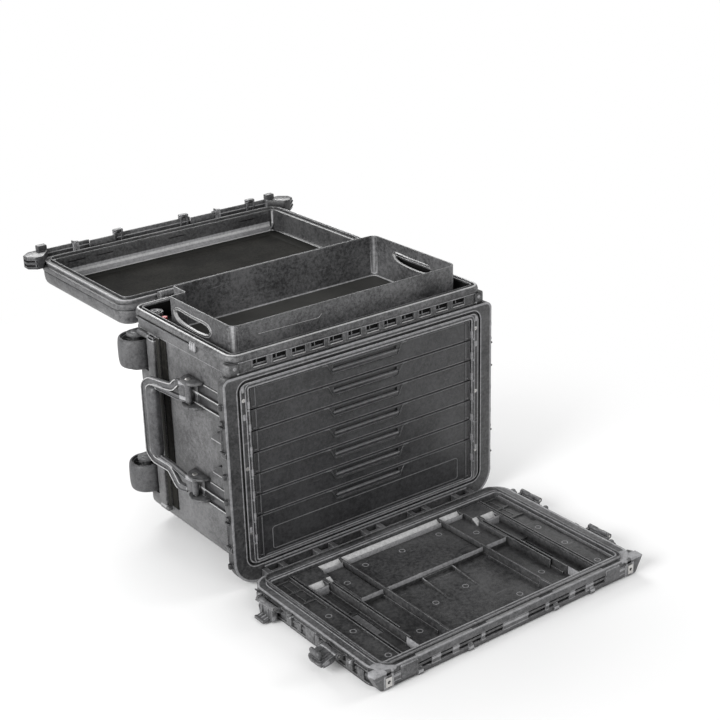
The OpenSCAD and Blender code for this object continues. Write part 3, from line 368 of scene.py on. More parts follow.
class Kit:
    """Collects shapes in millimetres and finishes them as one piece."""

    def __init__(self):
        self.mesh = bmesh.new()

    def take(self, part, place=None):
        if place:
            bmesh.ops.transform(part, matrix=place, verts=part.verts)
        bmesh.ops.recalc_face_normals(part, faces=part.faces)
        data = bpy.data.meshes.new("part")
        part.to_mesh(data)
        part.free()
        self.mesh.from_mesh(data)
        bpy.data.meshes.remove(data)

    def box(self, x0, x1, y0, y1, z0, z1, rounding=0.8, segments=2, place=None):
        part = bmesh.new()
        bmesh.ops.create_cube(part, size=1)
        low = Vector((x0, y0, z0))
        high = Vector((x1, y1, z1))
        size = Vector([abs(length) for length in high - low])
        for vertex in part.verts:
            vertex.co = (low + high) / 2 + vertex.co * size
        rounding = min(rounding, min(size) * 0.45)
        if rounding > 0.01:
            bmesh.ops.bevel(part, geom=part.edges[:], offset=rounding, segments=segments, profile=0.5,
                            affect="EDGES")
        self.take(part, place)

    def block(self, x, half, *limits):
        """Box that reaches half to each side of x; the limits are those of box after its first two."""
        self.box(x - half, x + half, *limits)

    def pair(self, x, half, *limits):
        """The same block on both sides of the case."""
        for side in SIDES:
            self.block(side * x, half, *limits)

    def prism(self, points, axis, start, end, rounding=0.6, segments=2):
        """Closed polygon in the plane across an axis, carried from start to end, its edges rounded."""
        part = bmesh.new()
        rows = [[part.verts.new(in_space(axis, u, v, along)) for u, v in points] for along in (start, end)]
        for row in rows:
            part.faces.new(row)
        skin(part, rows)
        bmesh.ops.recalc_face_normals(part, faces=part.faces)
        if rounding > 0.01:
            edges = [edge for edge in part.edges if edge.is_manifold and edge.calc_face_angle(0) > 0.5]
            bmesh.ops.bevel(part, geom=edges, offset=rounding, segments=segments, profile=0.5,
                            affect="EDGES", clamp_overlap=True)
        self.take(part)

    def ring(self, path, profile, axis="z", caps=(), closed=False):
        """Profile of (offset, height) swept round a path. Caps name ends of an open profile, 0 or -1."""
        part = bmesh.new()
        rows = []
        for entry in path:
            places = [(offset_point(entry, offset), height) for offset, height in profile]
            rows.append([part.verts.new(in_space(axis, *point, height)) for point, height in places])
        skin(part, rows, closed_rows=True, closed_points=closed)
        for end in caps:
            part.faces.new([row[end] for row in rows])
        bmesh.ops.remove_doubles(part, verts=part.verts, dist=MERGE_DISTANCE)
        self.take(part)

    def ridge(self, path, inner, outer, start, top, axis="y", rounding=0.3):
        """Round-topped ridge between two offsets of a path, standing from start out to top."""
        up = rounding if top > start else -rounding
        profile = [(inner, start), (inner, top - up), (inner + rounding * 0.3, top - up * 0.3),
                   (inner + rounding, top), (outer - rounding, top), (outer - rounding * 0.3, top - up * 0.3),
                   (outer, top - up), (outer, start)]
        self.ring(path, profile, axis)

    def lathe(self, profile, origin, axis="z", segments=40, closed=True):
        """Profile of (radius, height) turned about an axis through origin."""
        part = bmesh.new()
        rows = []
        for i in range(segments):
            turn = 2 * math.pi * i / segments
            points = [in_space(axis, r * math.cos(turn), r * math.sin(turn), height) for r, height in profile]
            rows.append([part.verts.new(Vector(point) + Vector(origin)) for point in points])
        on_axis = [radius < 1e-6 for radius, height in profile]
        left_out = [j for j in range(len(profile)) if on_axis[j] and on_axis[(j + 1) % len(profile)]]
        skin(part, rows, closed_rows=True, closed_points=closed, left_out=left_out)
        bmesh.ops.remove_doubles(part, verts=part.verts, dist=MERGE_DISTANCE)
        self.take(part)

    def loft(self, loops):
        """Closed skin over loops with the same number of points."""
        part = bmesh.new()
        rows = [[part.verts.new(point) for point in loop] for loop in loops]
        skin(part, rows)
        part.faces.new(rows[0])
        part.faces.new(rows[-1])
        self.take(part)

    def tube(self, points, radii, segments):
        """Round bar along a smooth run of points, with one radius or one for each point."""
        points = [Vector(point) for point in points]
        across = None
        loops = []
        for i, point in enumerate(points):
            along = (points[min(i + 1, len(points) - 1)] - points[max(i - 1, 0)]).normalized()
            if across is None:
                across = along.orthogonal().normalized()
            across = (across - along * across.dot(along)).normalized()
            beside = along.cross(across)
            radius = radii[i] if isinstance(radii, list) else radii
            loops.append([point + across * u + beside * v for u, v in circle(radius, segments)])
        self.loft(loops)

    def rod(self, start, end, radius, chamfer, segments):
        """Straight round bar with chamfered ends."""
        start = Vector(start)
        end = Vector(end)
        along = (end - start).normalized() * chamfer
        points = [start, start + along * 0.3, start + along, end - along, end - along * 0.3, end]
        radii = [radius - chamfer, radius - chamfer * 0.3, radius]
        self.tube(points, radii + radii[::-1], segments)

    def sweep(self, path, profile, normal, scales=None):
        """Profile of (across, out) carried along a path that lies about square to normal."""
        normal = Vector(normal).normalized()
        loops = []
        for i, point in enumerate(path):
            along = (path[min(i + 1, len(path) - 1)] - path[max(i - 1, 0)]).normalized()
            side = normal.cross(along).normalized()
            out = along.cross(side)
            scale = scales[i] if scales else 1.0
            loops.append([point + side * u * scale + out * v for u, v in profile])
        self.loft(loops)

    def finish(self, name, body, finish, replaces=(), place=None):
        """Makes the piece, gives it its finish and lets it ride on a body."""
        if place:
            bmesh.ops.transform(self.mesh, matrix=place, verts=self.mesh.verts)
            bmesh.ops.recalc_face_normals(self.mesh, faces=self.mesh.faces)
        shade(self.mesh)
        piece = to_object(self.mesh, name)
        dress(piece, finish)
        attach(piece, body)
        if replaces:
            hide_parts(*replaces)
        return piece


def cut(piece, kit):
    cutter = to_object(kit.mesh, "cutter")
    boolean = piece.modifiers.new("cut", "BOOLEAN")
    boolean.operation = "DIFFERENCE"
    boolean.solver = "EXACT"
    boolean.object = cutter
    bpy.context.view_layer.update()
    evaluated = piece.evaluated_get(bpy.context.evaluated_depsgraph_get())
    data = bpy.data.meshes.new_from_object(evaluated)
    piece.modifiers.clear()
    uncut = piece.data
    piece.data = data
    bpy.data.meshes.remove(uncut)
    data.name = piece.name
    mesh = bmesh.new()
    mesh.from_mesh(data)
    shade(mesh)
    mesh.to_mesh(data)
    mesh.free()
    bpy.data.objects.remove(cutter)


# Lid, hanging open behind the case with its inside up

LID_X = 286
LID_NEAR = 193
LID_FAR = 538
LID_RIM = 430
LID_LATCH_X = (-140, 100)
LID_HINGE_X = (-190, 0, 190)
LID_PATH = rounded_box_path(-LID_X, LID_X, LID_NEAR, LID_FAR, 30, 10, step=60)
# Thin lip on top, a groove, a rounded band, a seam and the curved lower wall
LID_OUTSIDE = [
    (-4.4, LID_RIM), (-4.3, 437.4), (-3.9, 438.1), (-3.2, 438.3), (-2.4, 438.1), (-2, 437.4), (-1.8, 431.8),
    (-1.2, 431.2), (1.6, 431), (2.9, 430.4), (3.4, 429), (3.4, 421.6), (2.8, 420.3), (1.6, 419.8),
    (0.2, 419.7), (0, 418.5), (1.2, 418.1), (1.7, 417.2), (1.5, 409), (0.6, 401.5), (-1.4, 396),
    (-4.8, 391.8), (-9.5, 389), (-16, 388), (-75, 388),
]
# Seat, tongue of the seal and inner wall
LID_INSIDE = [
    (-4.2, LID_RIM), (-4.2, 436.4), (-4.8, 436.9), (-13.4, 437), (-13.7, 441.2), (-14.1, 441.7),
    (-14.9, 441.7), (-15.2, 441.2), (-15.5, 437), (-20.6, 436.8), (-21.8, 436), (-22.3, 434), (-22.8, 425),
    (-23.5, 412), (-24.4, 404), (-26.5, 398), (-30, 395), (-36, 394), (-60, 394), (-60, 391),
]
LID_LIP = [(-4.6, 436.8), (-4.5, 438.1), (-4.0, 438.6), (-3.2, 438.6), (-2.9, 438), (-3, 436.6)]


def add_lid_skirt(kit):
    """Skirt along the far edge, with its turned top, bridged by a thin wall behind the latches."""
    for x0, x1 in ((-265, -168), (-112, 72), (128, 265)):
        kit.box(x0, x1, 543.8, 548.4, 428.6, 452.4, 1.6, 3)
        kit.box(x0, x1, 536, 546, 429.5, 436, 1.2)
        kit.box(x0, x1, 542.6, 545, 442.6, 444.6)
        kit.box(x0, x1, 547.4, 550, 447.4, 451.2, 1.0)
    for x in LID_LATCH_X:
        kit.block(x, 29, 538.6, 542.3, LID_RIM, 451.4, 1.0)


def add_lid_lugs(kit):
    """Hollow lugs of two cheeks, a cap and a web, and the narrow ribs between them."""
    for x in (-101, 56.3, 225.2):
        for side in SIDES:
            kit.block(x + 8 * side, 2, 540.6, 551.4, LID_RIM, 460.6, 1.2, 3)
        kit.block(x, 10, 540.6, 551.4, 455.6, 460.6, 1.2, 3)
        kit.block(x, 8, 546, 551, LID_RIM, 457)
    for x in (-200.9, 139.1):
        kit.block(x - 3.6, 1.6, 542.6, 550.4, LID_RIM, 457, 0.9)
        kit.block(x + 2.5, 6.5, 543, 550, LID_RIM, 454, 0.9)
        kit.prism([(543.5, 446), (543.5, 457), (536, 437), (536, 434)], "x", x - 1.4, x + 1.4, 0.5, 1)


def make_lid_outside():
    kit = Kit()
    kit.ring(LID_PATH, LID_OUTSIDE, caps=(-1,))
    for x in (-190, -120, -50, 50, 120, 190):
        kit.block(x, 5, 225, 505, 386.2, 389, 0.7)
    add_lid_skirt(kit)
    add_lid_lugs(kit)
    # ears and web of the latches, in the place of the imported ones
    for x in LID_LATCH_X:
        for side in SIDES:
            ear = arc((548, 435.5), 5, -60, 110, 17) + [(537, 433.5), (537, 419.5)]
            kit.prism(ear, "x", x + 23 * side - 2.5, x + 23 * side + 2.5, 0.7)
        kit.block(x, 29, 535, 540, 420, 432.5, 1.2)
    # arms to the hinge
    for x in LID_HINGE_X:
        arm = arc((184, 438), 8, 70, 290, 20) + [(196, 430.2), (197, 437.2), (190, 437.6)]
        kit.prism(arm, "x", x - 12, x + 12, 0.8)
    kit.finish("lid_moulding", "lid", "shell", ["lid_shell"])


def make_lid_knuckles():
    """Knuckles of the far corners, with near-black slots painted in as the shade of their hollow insides."""
    knuckles = Kit()
    slots = Kit()
    knuckle = [(290, 504), (305, 504), (320, 518), (320, 535), (303, 550), (264, 550), (264, 539)]
    for side in SIDES:
        knuckles.prism([(side * x, y) for x, y in knuckle], "z", 427.5, 453, 2.2, 3)
        knuckles.block(side * 275, 10, 537.6, 551.2, LID_RIM, 463.4, 1.8, 3)
        for z in (433.5, 442.5):
            slot = [(side * 304, 503.4), (side * 321.6, 518), (side * 319, 520), (side * 302, 506)]
            slots.prism(slot, "z", z, z + 4, 0.4)
            slots.block(side * 319.9, 0.6, 521.5, 531, z, z + 4, 0.4)
    knuckles.finish("lid_knuckles", "lid", "drawer")
    slots.finish("lid_knuckle_slot_shade", "lid", "well")


def make_lid_inside():
    kit = Kit()
    kit.ring(LID_PATH, LID_INSIDE)
    tub = kit.finish("lid_tub", "lid", "panel")
    slits = Kit()
    for x in (-214, -150, 20, 196):
        slits.block(x, 19, 513.6, 518.5, 424.4, 426.2, 0)
    cut(tub, slits)
    # painted highlight: a pale lip ring along the top of the rim
    kit = Kit()
    kit.ring(LID_PATH, LID_LIP, closed=True)
    kit.finish("lid_lip_highlight", "lid", "pad")
    # painted highlight: pale cove along the far wall and a pale streak in its corner
    kit = Kit()
    quarter = [math.radians(degrees) for degrees in range(0, 91, 9)]
    cove = [(498 + 16.6 * math.cos(turn), 411 - 16.3 * math.sin(turn)) for turn in quarter]
    kit.prism(cove + [(496, 390), (517, 390), (517, 411)], "x", -256, 254, 0.3, 1)
    highlight_streak = rounded_line([(262.2, 514.2, 434), (262, 514, 410), (258, 510, 399), (246, 502, 396)], 8)
    kit.tube(highlight_streak, 2.2, 10)
    kit.finish("lid_cove_highlight", "lid", "pad")
    kit = Kit()
    floor = rounded_box_path(-256, 256, 223, 502, 16, 6)
    kit.ring(floor, [(0, 391.2), (0, 394.4), (-0.6, 394.8), (-40, 394.8)], caps=(0, -1))
    kit.finish("lid_floor", "lid", "liner_and_shade")


make_lid_outside()
make_lid_knuckles()
make_lid_inside()

# Lift-out tray, standing proud of the case, with a notch in its rear left corner for the valve

TRAY_X = 248
TRAY_Y = 126
TRAY_CORNERS = [
    (-TRAY_X, -TRAY_Y, 16), (TRAY_X, -TRAY_Y, 16), (TRAY_X, TRAY_Y, 16), (-215, TRAY_Y, 5), (-215, 82, 4),
    (-TRAY_X, 82, 6),
]
TRAY_FLOOR_CORNERS = [
    (-244, -122, 13), (244, -122, 13), (244, 122, 13), (-211, 122, 4), (-211, 78, 4), (-244, 78, 4),
]
TRAY_WALL = [
    (-40, 389.6), (-10, 389.6), (-6.5, 390.1), (-4.4, 391.6), (-3.4, 394), (-3.1, 400), (-3, 471),
    (-3, 472.5), (-2.6, 473.1), (-1.9, 473.3), (-1, 473.3), (-0.3, 473), (0, 472.3), (0, 402), (-0.1, 394),
    (-0.8, 390), (-2.4, 387.6), (-5, 386.4), (-9, 386.3), (-40, 386.3),
]
# Double bead round a hand slot: distance outside the slot's edge, and height over the wall's face
SLOT_BEADS = [
    (0.1, -3.4), (-0.5, -3.6), (-0.6, 1.2), (-0.2, 1.9), (0.4, 1.9), (0.8, 1.2), (0.9, -0.6), (3.2, -0.6),
    (3.3, 0.9), (3.6, 1.4), (4.1, 1.4), (4.4, 0.8), (4.5, -0.6),
]
GAP_BETWEEN_BEADS = 6
HAND_SLOT_Y = 4


def hand_slot():
    """Smile-shaped outline (y, z) of a hand slot."""
    upper = []
    lower = []
    for i in range(19):
        t = i / 9 - 1
        y = HAND_SLOT_Y + t * 60
        half = 10.5 * (1 - abs(t) ** 5) ** 0.5
        sag = 4.5 * t * t + 1.5 * t
        upper.append((y, 443.6 + sag * 0.8 + half))
        lower.append((y, 441.6 + sag * 0.9 - half * 0.95))
    return lower + upper[::-1]


def make_tray():
    kit = Kit()
    kit.ring(rounded_path(TRAY_CORNERS, 8, 60), TRAY_WALL, caps=(0, -1))
    tray = kit.finish("tray_moulding", "tray", "shell", ["tray"])
    outline = hand_slot()
    slots = Kit()
    for side in SIDES:
        slots.prism(outline, "x", side * TRAY_X - 9, side * TRAY_X + 9, 0)
    cut(tray, slots)
    make_slot_beads([Vector(point) for point in outline])
    # painted highlight: pale crease on the front wall and pale bead where floor and walls meet
    kit = Kit()
    kit.tube(rounded_line([(-196, -126.1, 449), (-70, -126.1, 447), (-62, -126.1, 453)], 6), 0.5, 8)
    bead = [(-206, 122.4, 390.8), (236, 122.4, 390.8), (244.2, 114, 390.8), (244.2, 20, 390.8)]
    kit.tube(rounded_line(bead, 8), 1.1, 8)
    kit.finish("tray_crease_highlights", "tray", "pad")


def make_slot_beads(outline):
    # pale double bead round each hand slot, a painted highlight
    kit = Kit()
    for side in SIDES:
        part = bmesh.new()
        rows = []
        for i, point in enumerate(outline):
            along = (outline[(i + 1) % len(outline)] - outline[i - 1]).normalized()
            outwards = Vector((along.y, -along.x))
            if outwards.dot(point - Vector((HAND_SLOT_Y, 443))) < 0:
                outwards = -outwards
            places = [(height, point + outwards * offset) for offset, height in SLOT_BEADS]
            rows.append([part.verts.new((side * (TRAY_X + height), *place)) for height, place in places])
        skin(part, rows, closed_rows=True, closed_points=False, left_out=(GAP_BETWEEN_BEADS,))
        kit.take(part)
    kit.finish("tray_slot_lip_highlights", "tray", "pad")


def make_tray_sheen(step, half_turn, lift):
    """Sheen on two rounded corners of the tray, lift away from the wall and half_turn to each side."""
    kit = Kit()
    for x, y, radius, middle, outwards in ((-232, -110, 16, 225, 1), (232, 110, 13, 45, -1)):
        turns = [math.radians(middle + half_turn * i / 4) for i in range(-4, 5)]
        edges = ((radius + outwards * lift, turns), (radius - outwards * 1.5, turns[::-1]))
        line = [(x + r * math.cos(t), y + r * math.sin(t)) for r, order in edges for t in order]
        kit.loft([[(*point, z) for point in line] for z in (396 - step, 470 + step)])
    kit.finish("tray_sheen_%d" % (step + 1), "tray", "sheen_%d" % (step + 1))


def make_tray_floor():
    kit = Kit()
    floor = [(0, 388.6), (0, 390.1), (-0.4, 390.5), (-30, 390.5)]
    kit.ring(rounded_path(TRAY_FLOOR_CORNERS, 6, 60), floor, caps=(0, -1))
    kit.finish("tray_floor", "tray", "floor")


make_tray()
for step, (half_turn, lift) in enumerate(((30, 0.1), (19, 0.2), (9, 0.3))):
    make_tray_sheen(step, half_turn, lift)
make_tray_floor()

# Rim of the case

RIM_PATH = rounded_box_path(-276, 276, -162, 168, 20, 10)
RIM_WALL = [
    (0, 402), (0, 422.8), (0.5, 424.2), (1.8, 425.2), (2.8, 426.4), (3.1, 428), (3.1, 429.6), (2.9, 431.4),
    (2.4, 433.2), (1.6, 434.9), (0.5, 436.3), (-0.8, 437.3), (-2.0, 437.8), (-2.9, 437.7), (-3.4, 436.9),
    (-3.5, 435.6), (-3.6, 431.1), (-8.4, 431.1), (-8.6, 436.6), (-9.2, 437.6), (-10.2, 437.9), (-11.2, 437.6),
    (-11.9, 436.7), (-12, 435.6), (-12, 402),
]
RIM_BEAD = [
    (-3.35, 436), (-3.3, 437.6), (-2.8, 438), (-1.9, 438.1), (-1.0, 437.85), (-0.2, 437.3), (0.2, 436.7),
    (-1, 436),
]
SLOTS = 12
SLOT_PITCH = 40
SLOT_X = [(i - (SLOTS - 1) / 2) * SLOT_PITCH for i in range(SLOTS)]
VALVE_FLANGE = [
    (9, 421), (14.4, 421), (14.7, 426.6), (14.2, 427.6), (13, 427.9), (12.2, 427), (11, 427), (10.6, 428.6),
    (9.8, 429), (9, 429),
]
VALVE_COLLAR = [(3.6, 428.1), (7.4, 428.1), (8.2, 428.6), (7.6, 429.6), (6.6, 429.7), (6, 429), (3.6, 429)]


def make_rim():
    kit = Kit()
    kit.ring(RIM_PATH, RIM_WALL, closed=True)
    rim = kit.finish("rim_moulding", "case", "shell", ["top_rim"])
    slots = Kit()
    for x in SLOT_X:
        slots.block(x, 15.5, -170, -157.2, 409, 421.5, 0)
    cut(rim, slots)


def make_rim_slots():
    kit = Kit()
    for x in SLOT_X:
        # rib at the slot's left end, its turned lower lip and a thin rib across it
        kit.block(x - 14.5, 1.3, -163.6, -157, 407.6, 422.6, 0.7)
        kit.block(x + 1.3, 13.9, -158.6, -157, 409.4, 412.4, 0.5)
        kit.block(x - 3.3, 0.7, -159.8, -157, 409.4, 421, 0.4, 1)
    # long lips above and below the row of slots
    kit.box(-262, 262, -163.4, -161.2, 422.4, 424.2, 0.7)
    kit.box(-266, 266, -163.9, -161.2, 403.2, 405.8, 0.9)
    for side in SIDES:
        # ledge under the rear half of the bead, ended by a ribbed tab
        x = side * 278.6
        kit.block(x, 3, -38, 150, 421.4, 424.6, 0.9)
        for y in (-51, -44.5, -38):
            kit.block(x, 2.6, y - 2.2, y + 2.2, 414, 429, 1.0)
        kit.block(x, 2, -53, -36, 416, 430)
        # shoulder block at the end of the front, with its stud
        shoulder = [(262, -163.5), (280, -163.5), (284, -158), (284, -147), (276, -140), (262, -150)]
        kit.prism([(side * u, v) for u, v in shoulder], "z", 402, 422.4, 1.2)
        kit.rod((side * 270, -164.6, 415), (side * 270, -161, 415), 3.2, 0.6, 16)
    kit.finish("rim_slots", "case", "shell")


def make_rim_details():
    # painted highlight: pale top of the bead, and pale lower lips of the slots
    kit = Kit()
    kit.ring(RIM_PATH, RIM_BEAD, closed=True)
    for x in SLOT_X:
        kit.block(x + 1.3, 13.7, -163.2, -161.4, 407.4, 409.4, 0.7)
    kit.finish("rim_bead_highlight", "case", "pad")
    # painted shade: near-black strip inside the rim, its floor round the valve and the dark inside the slots
    kit = Kit()
    kit.ring(RIM_PATH, [(-12.05, 397), (-12.05, 434.6), (-12.9, 434.6), (-12.9, 397)], closed=True)
    kit.box(-263, -216.5, 84, 155, 408, 411, 0.6)
    for x in SLOT_X:
        kit.block(x + 1.2, 14.2, -157.4, -156.4, 409.2, 421.4, 0.1, 1)
    kit.finish("rim_well", "case", "well")
    kit = Kit()
    kit.lathe(VALVE_FLANGE, (-246, 141, 0))
    kit.lathe(VALVE_COLLAR, (-246, 142, 0), segments=32)
    kit.finish("valve_rings", "case", "lever")


make_rim()
make_rim_slots()
make_rim_details()

# Front frame round the drawers

FRAME_PATH = rounded_path([(-298, 4, 50), (298, 4, 50), (298, 402, 14), (-298, 402, 14)], 12)
OPENING_PATH = rounded_path([(-248, 48, 3), (248, 48, 3), (248, 376, 3), (-248, 376, 3)], 4)
SEAL_PATH = rounded_path([(-268, 39, 18), (268, 39, 18), (268, 389, 18), (-268, 389, 18)], 8)
FRAME_FOOT = -167.6
FRAME_FACE = -168.05
DOOR_LATCH_Z = {"upper": 292, "lower": 110}
HINGE_RIB_PITCH = 38
DRAWER_CLIPS = 7
DRAWER_CLIP_TOP = 346
DRAWER_CLIP_PITCH = 42.4


def make_frame_lips():
    kit = Kit()
    # outer bead, twin lips of the opening and of the seal's groove
    lips = ((FRAME_PATH, -4.2, -0.4), (OPENING_PATH, 0.6, 2.6), (OPENING_PATH, 6.4, 7.8),
            (SEAL_PATH, 2.8, 4.6), (SEAL_PATH, -4.6, -2.8))
    for path, inner, outer in lips:
        kit.ridge(path, inner, outer, FRAME_FOOT, FRAME_FACE)
    kit.pair(249.6, 1, -169.4, -167, 60, 372, 0.6)
    kit.pair(255.1, 0.8, -169.1, -167, 60, 372, 0.5)
    for z in DOOR_LATCH_Z.values():
        # strike pocket of a latch: ribs below and above it, and a boss over it
        kit.pair(300.5, 3.5, -165, -152, z - 25, z - 21.6)
        kit.pair(300.5, 3.5, -165, -152, z + 21.6, z + 25)
        kit.pair(300, 3, -164, -155, z + 29, z + 35, 1.2)
    for side in SIDES:
        for z in DOOR_LATCH_Z.values():
            kit.block(side * 298 - 0.3, 1.7, -154.4, -151.6, z - 20, z + 20, 0.6)
        for z in (352, 222, 173, 48):
            bump = [(side * 297, -164), (side * 304.6, -161.5), (side * 304.6, -156), (side * 297, -152)]
            kit.prism(bump, "z", z - 4.5, z + 4.5, 1.0)
        for i in range(DRAWER_CLIPS):
            # post beside the opening and its stepped clip
            z = DRAWER_CLIP_TOP - i * DRAWER_CLIP_PITCH
            kit.block(side * 249.5, 2.4, -168.8, -163, z - 7, z + 6, 0.6)
            kit.block(side * 252 + 1.1, 2.1, -169, -166, z - 12, z - 9, 0.5)
    # ribs and lines in the edge above the door's hinge
    for i in range(-6, 7):
        for side in SIDES:
            kit.block(i * HINGE_RIB_PITCH + side * 12.5, 1, -168.8, -163, 7, 9.2, 0.5)
    for z0, z1 in ((27.5, 30), (33.5, 35)):
        kit.block(0, 236, FRAME_FACE, -166, z0, z1, 0.3)
    kit.finish("frame_lips", "case", "frame")


def make_frame_clips():
    kit = Kit()
    for z in (110, 325, 376):
        kit.pair(259.6, 2.2, FRAME_FACE, -166.8, z - 5.5, z + 5.5, 0.7)
    kit.finish("frame_clips", "case", "lever")


make_frame_lips()
make_frame_clips()

# Sides of the case, with the brackets of the folding handles

HANDLE_X = 290
HANDLE_Y = -38
HANDLE_EYE_Z = (168, 352)
# For each eye: its z, how far its plate lies below, its two ledges and the line above them
HANDLE_BRACKETS = ((168, 34, 18, 39, 3), (352, 38, 14.5, 36, 6))


def add_bracket(ribs, recesses, lines, side, z, drop, ledge_1, ledge_2, above):
    """Plates above and below an eye, the web between them, and ledges that run to the front frame, with pale
    painted highlight lines on the ledges and dark painted shade in the recesses.
    """
    turns = [math.radians(degrees) for degrees in range(0, 181, 12)]
    plate = [(side * (276 + 27 * math.sin(t) ** 0.75), -42 + 27 * math.cos(t)) for t in turns]
    for middle in (z + 8, z - drop):
        ribs.prism(plate, "z", middle - 2.5, middle + 2.5, 1.6, 3)
    ribs.block(side * 278, 2.4, -52, -24, z - drop, z + 8, 1)
    for ledge in (z - ledge_1, z - ledge_2):
        ribs.block(side * 278, 2.5, -150, -12, ledge - 2, ledge + 1.6)
        lines.block(side * 280.4, 0.5, -148, -14, ledge + 0.2, ledge + 2, 0.35)
    recesses.block(side * 276.6, 0.9, -150, -12, z - ledge_2 + 2, z - ledge_1 - 2, 0.4)
    recesses.block(side * 276.6, 0.9, -150, -54, z - ledge_1 + 2, z + above, 0.4)
    lines.block(side * 277.4, 0.6, -140, -70, z + above - 0.6, z + above + 0.9, 0.35)


def make_sides():
    ribs = Kit()
    recesses = Kit()
    straps = Kit()
    lines = Kit()
    # strap behind the handle and the recess at its front edge, near black as painted shade, and short ribs
    # over it
    straps.pair(276.6, 0.9, 55, 76, 64, 400, 0.4)
    straps.pair(279.3, 0.6, 75.6, 87, 64, 400, 0.4)
    for z in (300, 210):
        ribs.pair(278.4, 1.2, 84, 108, z - 2, z + 2, 0.6)
    # collar of the front frame, wide below and narrow above
    ribs.pair(279.5, 4, -151, -123, 58, 126, 2, 3)
    ribs.pair(279, 3.4, -151, -138, 180, 312, 1.6, 3)
    ribs.pair(279, 3.4, -151, -141, 360, 401, 1.6, 3)
    for side in SIDES:
        for bracket in HANDLE_BRACKETS:
            add_bracket(ribs, recesses, lines, side, *bracket)
        # ramps that guide the folded bail, dark as painted shade, each with a pale painted highlight line
        for z, y in ((266, -86), (200, -84)):
            ramp = [(y, z), (y - 24, z + 19), (y - 50, z + 21), (y - 50, z)]
            recesses.prism(ramp, "x", side * 275.8, side * 281.6, 1.4)
            lines.block(side * 280, 1.6, y - 50, y - 3, z - 1.6, z + 0.6, 0.6)
    ribs.finish("side_ribs", "case", "shell", ["handle_brackets"])
    # the recesses and straps are painted shade, the lines are pale painted highlight
    recesses.finish("side_recess_shade", "case", "drawer")
    straps.finish("side_strap_shade", "case", "liner_and_shade")
    lines.finish("side_highlight_lines", "case", "pad")


make_sides()

# Folding side handles

BAIL_ALONG = 0.971
BAIL_OUT = 0.238
# Routes of the bail's bars: distance from the hinge along the bail's plane, and height
BAIL_OUTER = [
    (3, 352), (26, 352), (41, 338), (58, 337), (98, 337), (113, 326), (114, 192), (101, 180), (62, 173),
    (42, 143), (22, 143),
]
BAIL_INNER = (
    [(3, 323), (28, 322), (86, 329), (101, 318), (101, 300)],
    [(3, 167), (24, 168), (54, 180), (90, 190), (101, 202), (101, 220)],
)
# Lower end of the grip: height, width and thickness as shares of the full ones, and shift inwards
GRIP_END = [(188.5, 0.30, 0.25, 2.8), (189.5, 0.62, 0.55, 1.8), (192, 0.84, 0.80, 0.88),
            (197, 0.96, 0.94, 0.24), (206, 1, 1, 0)]
GRIP_HEIGHTS = (225, 255, 285)
# Sum of the heights of two rings that mirror each other at the grip's ends
GRIP_ENDS_SUM = 516
STUD_HEAD = [(0, 9.4), (4.4, 9.4), (5.2, 9.9), (5.2, 11), (4.2, 12), (2, 12.3), (0, 12.3)]


def channel(width, depth):
    """Section of a bar with a raised lip along each edge."""
    lip = [(1, -0.55), (0.94, -0.9), (0.79, -1), (0.64, -0.9), (0.55, -0.46)]
    below = [(-u * width, v * depth) for u, v in lip] + [(u * width, v * depth) for u, v in reversed(lip)]
    return below + [(-u, -v) for u, v in below]


def squared(value):
    """Sine or cosine made a little fuller, for a soft-cornered section."""
    return math.copysign(abs(value) ** 0.8, value)


def make_bail(side, hand):
    body = "handle_" + hand
    out = Vector((side * BAIL_ALONG, -BAIL_OUT, 0))

    def on_bail(u, z):
        return Vector((side * (HANDLE_X + BAIL_OUT * u), HANDLE_Y + BAIL_ALONG * u, z))

    # cranked outer bar, and the straight members that carry the grip, all into a tall eye
    kit = Kit()
    outer = rounded_line([on_bail(*point) for point in BAIL_OUTER], 15, 6)
    widths = []
    for point in outer:
        from_eye = ((point.y - HANDLE_Y) / BAIL_ALONG - 14) / 16
        widths.append(0.62 + 0.38 * max(0.0, min(1.0, from_eye)))
    kit.sweep(outer, channel(7.6, 4.1), out, widths)
    for route in BAIL_INNER:
        kit.sweep(rounded_line([on_bail(*point) for point in route], 12, 6), channel(5.0, 3.2), out)
    for z, drop in ((352, 34), (168, 29.4)):
        eye = [(3.1, -drop), (5.2, -drop), (6.2, 1 - drop), (6.2, 4), (5.2, 5), (3.1, 5)]
        kit.lathe(eye, (side * HANDLE_X, HANDLE_Y, z), segments=32)
        web = [on_bail(u, 0) + out * v for u, v in ((4, -2), (23, -2), (23, 2), (4, 2))]
        kit.prism([point[:2] for point in web], "z", z - drop + 2, z + 3, 0.8)
    kit.finish("bail_rod_" + hand, body, "lever", ["handle_bail_" + hand])
    # pale lines on the edges of the bar's lips: painted highlight together with rubbed wear
    kit = Kit()
    for u in (-6, 6):
        for v in (-3.9, 3.9):
            half = math.copysign(0.35, v)
            edge = [(u - 0.7, v - half), (u + 0.7, v - half), (u + 0.7, v + half), (u - 0.7, v + half)]
            kit.sweep(outer[4:-4], edge, out)
    kit.finish("bail_highlight_lines_" + hand, body, "pad")
    # grip: a thick pad moulded along the inside of the bar
    kit = Kit()
    rings = GRIP_END + [(z, 1, 1, 0) for z in GRIP_HEIGHTS]
    rings += [(GRIP_ENDS_SUM - z, *rest) for z, *rest in reversed(GRIP_END)]
    section = [(squared(u), squared(v)) for u, v in circle(1, 36)]
    loops = []
    for z, width, depth, shift in rings:
        middle = 94 - shift
        loops.append([on_bail(middle + 13.5 * width * u, z) + out * 10.6 * depth * v for u, v in section])
    kit.loft(loops)
    kit.finish("bail_grip_" + hand, body, "grip", ["handle_grip_" + hand])


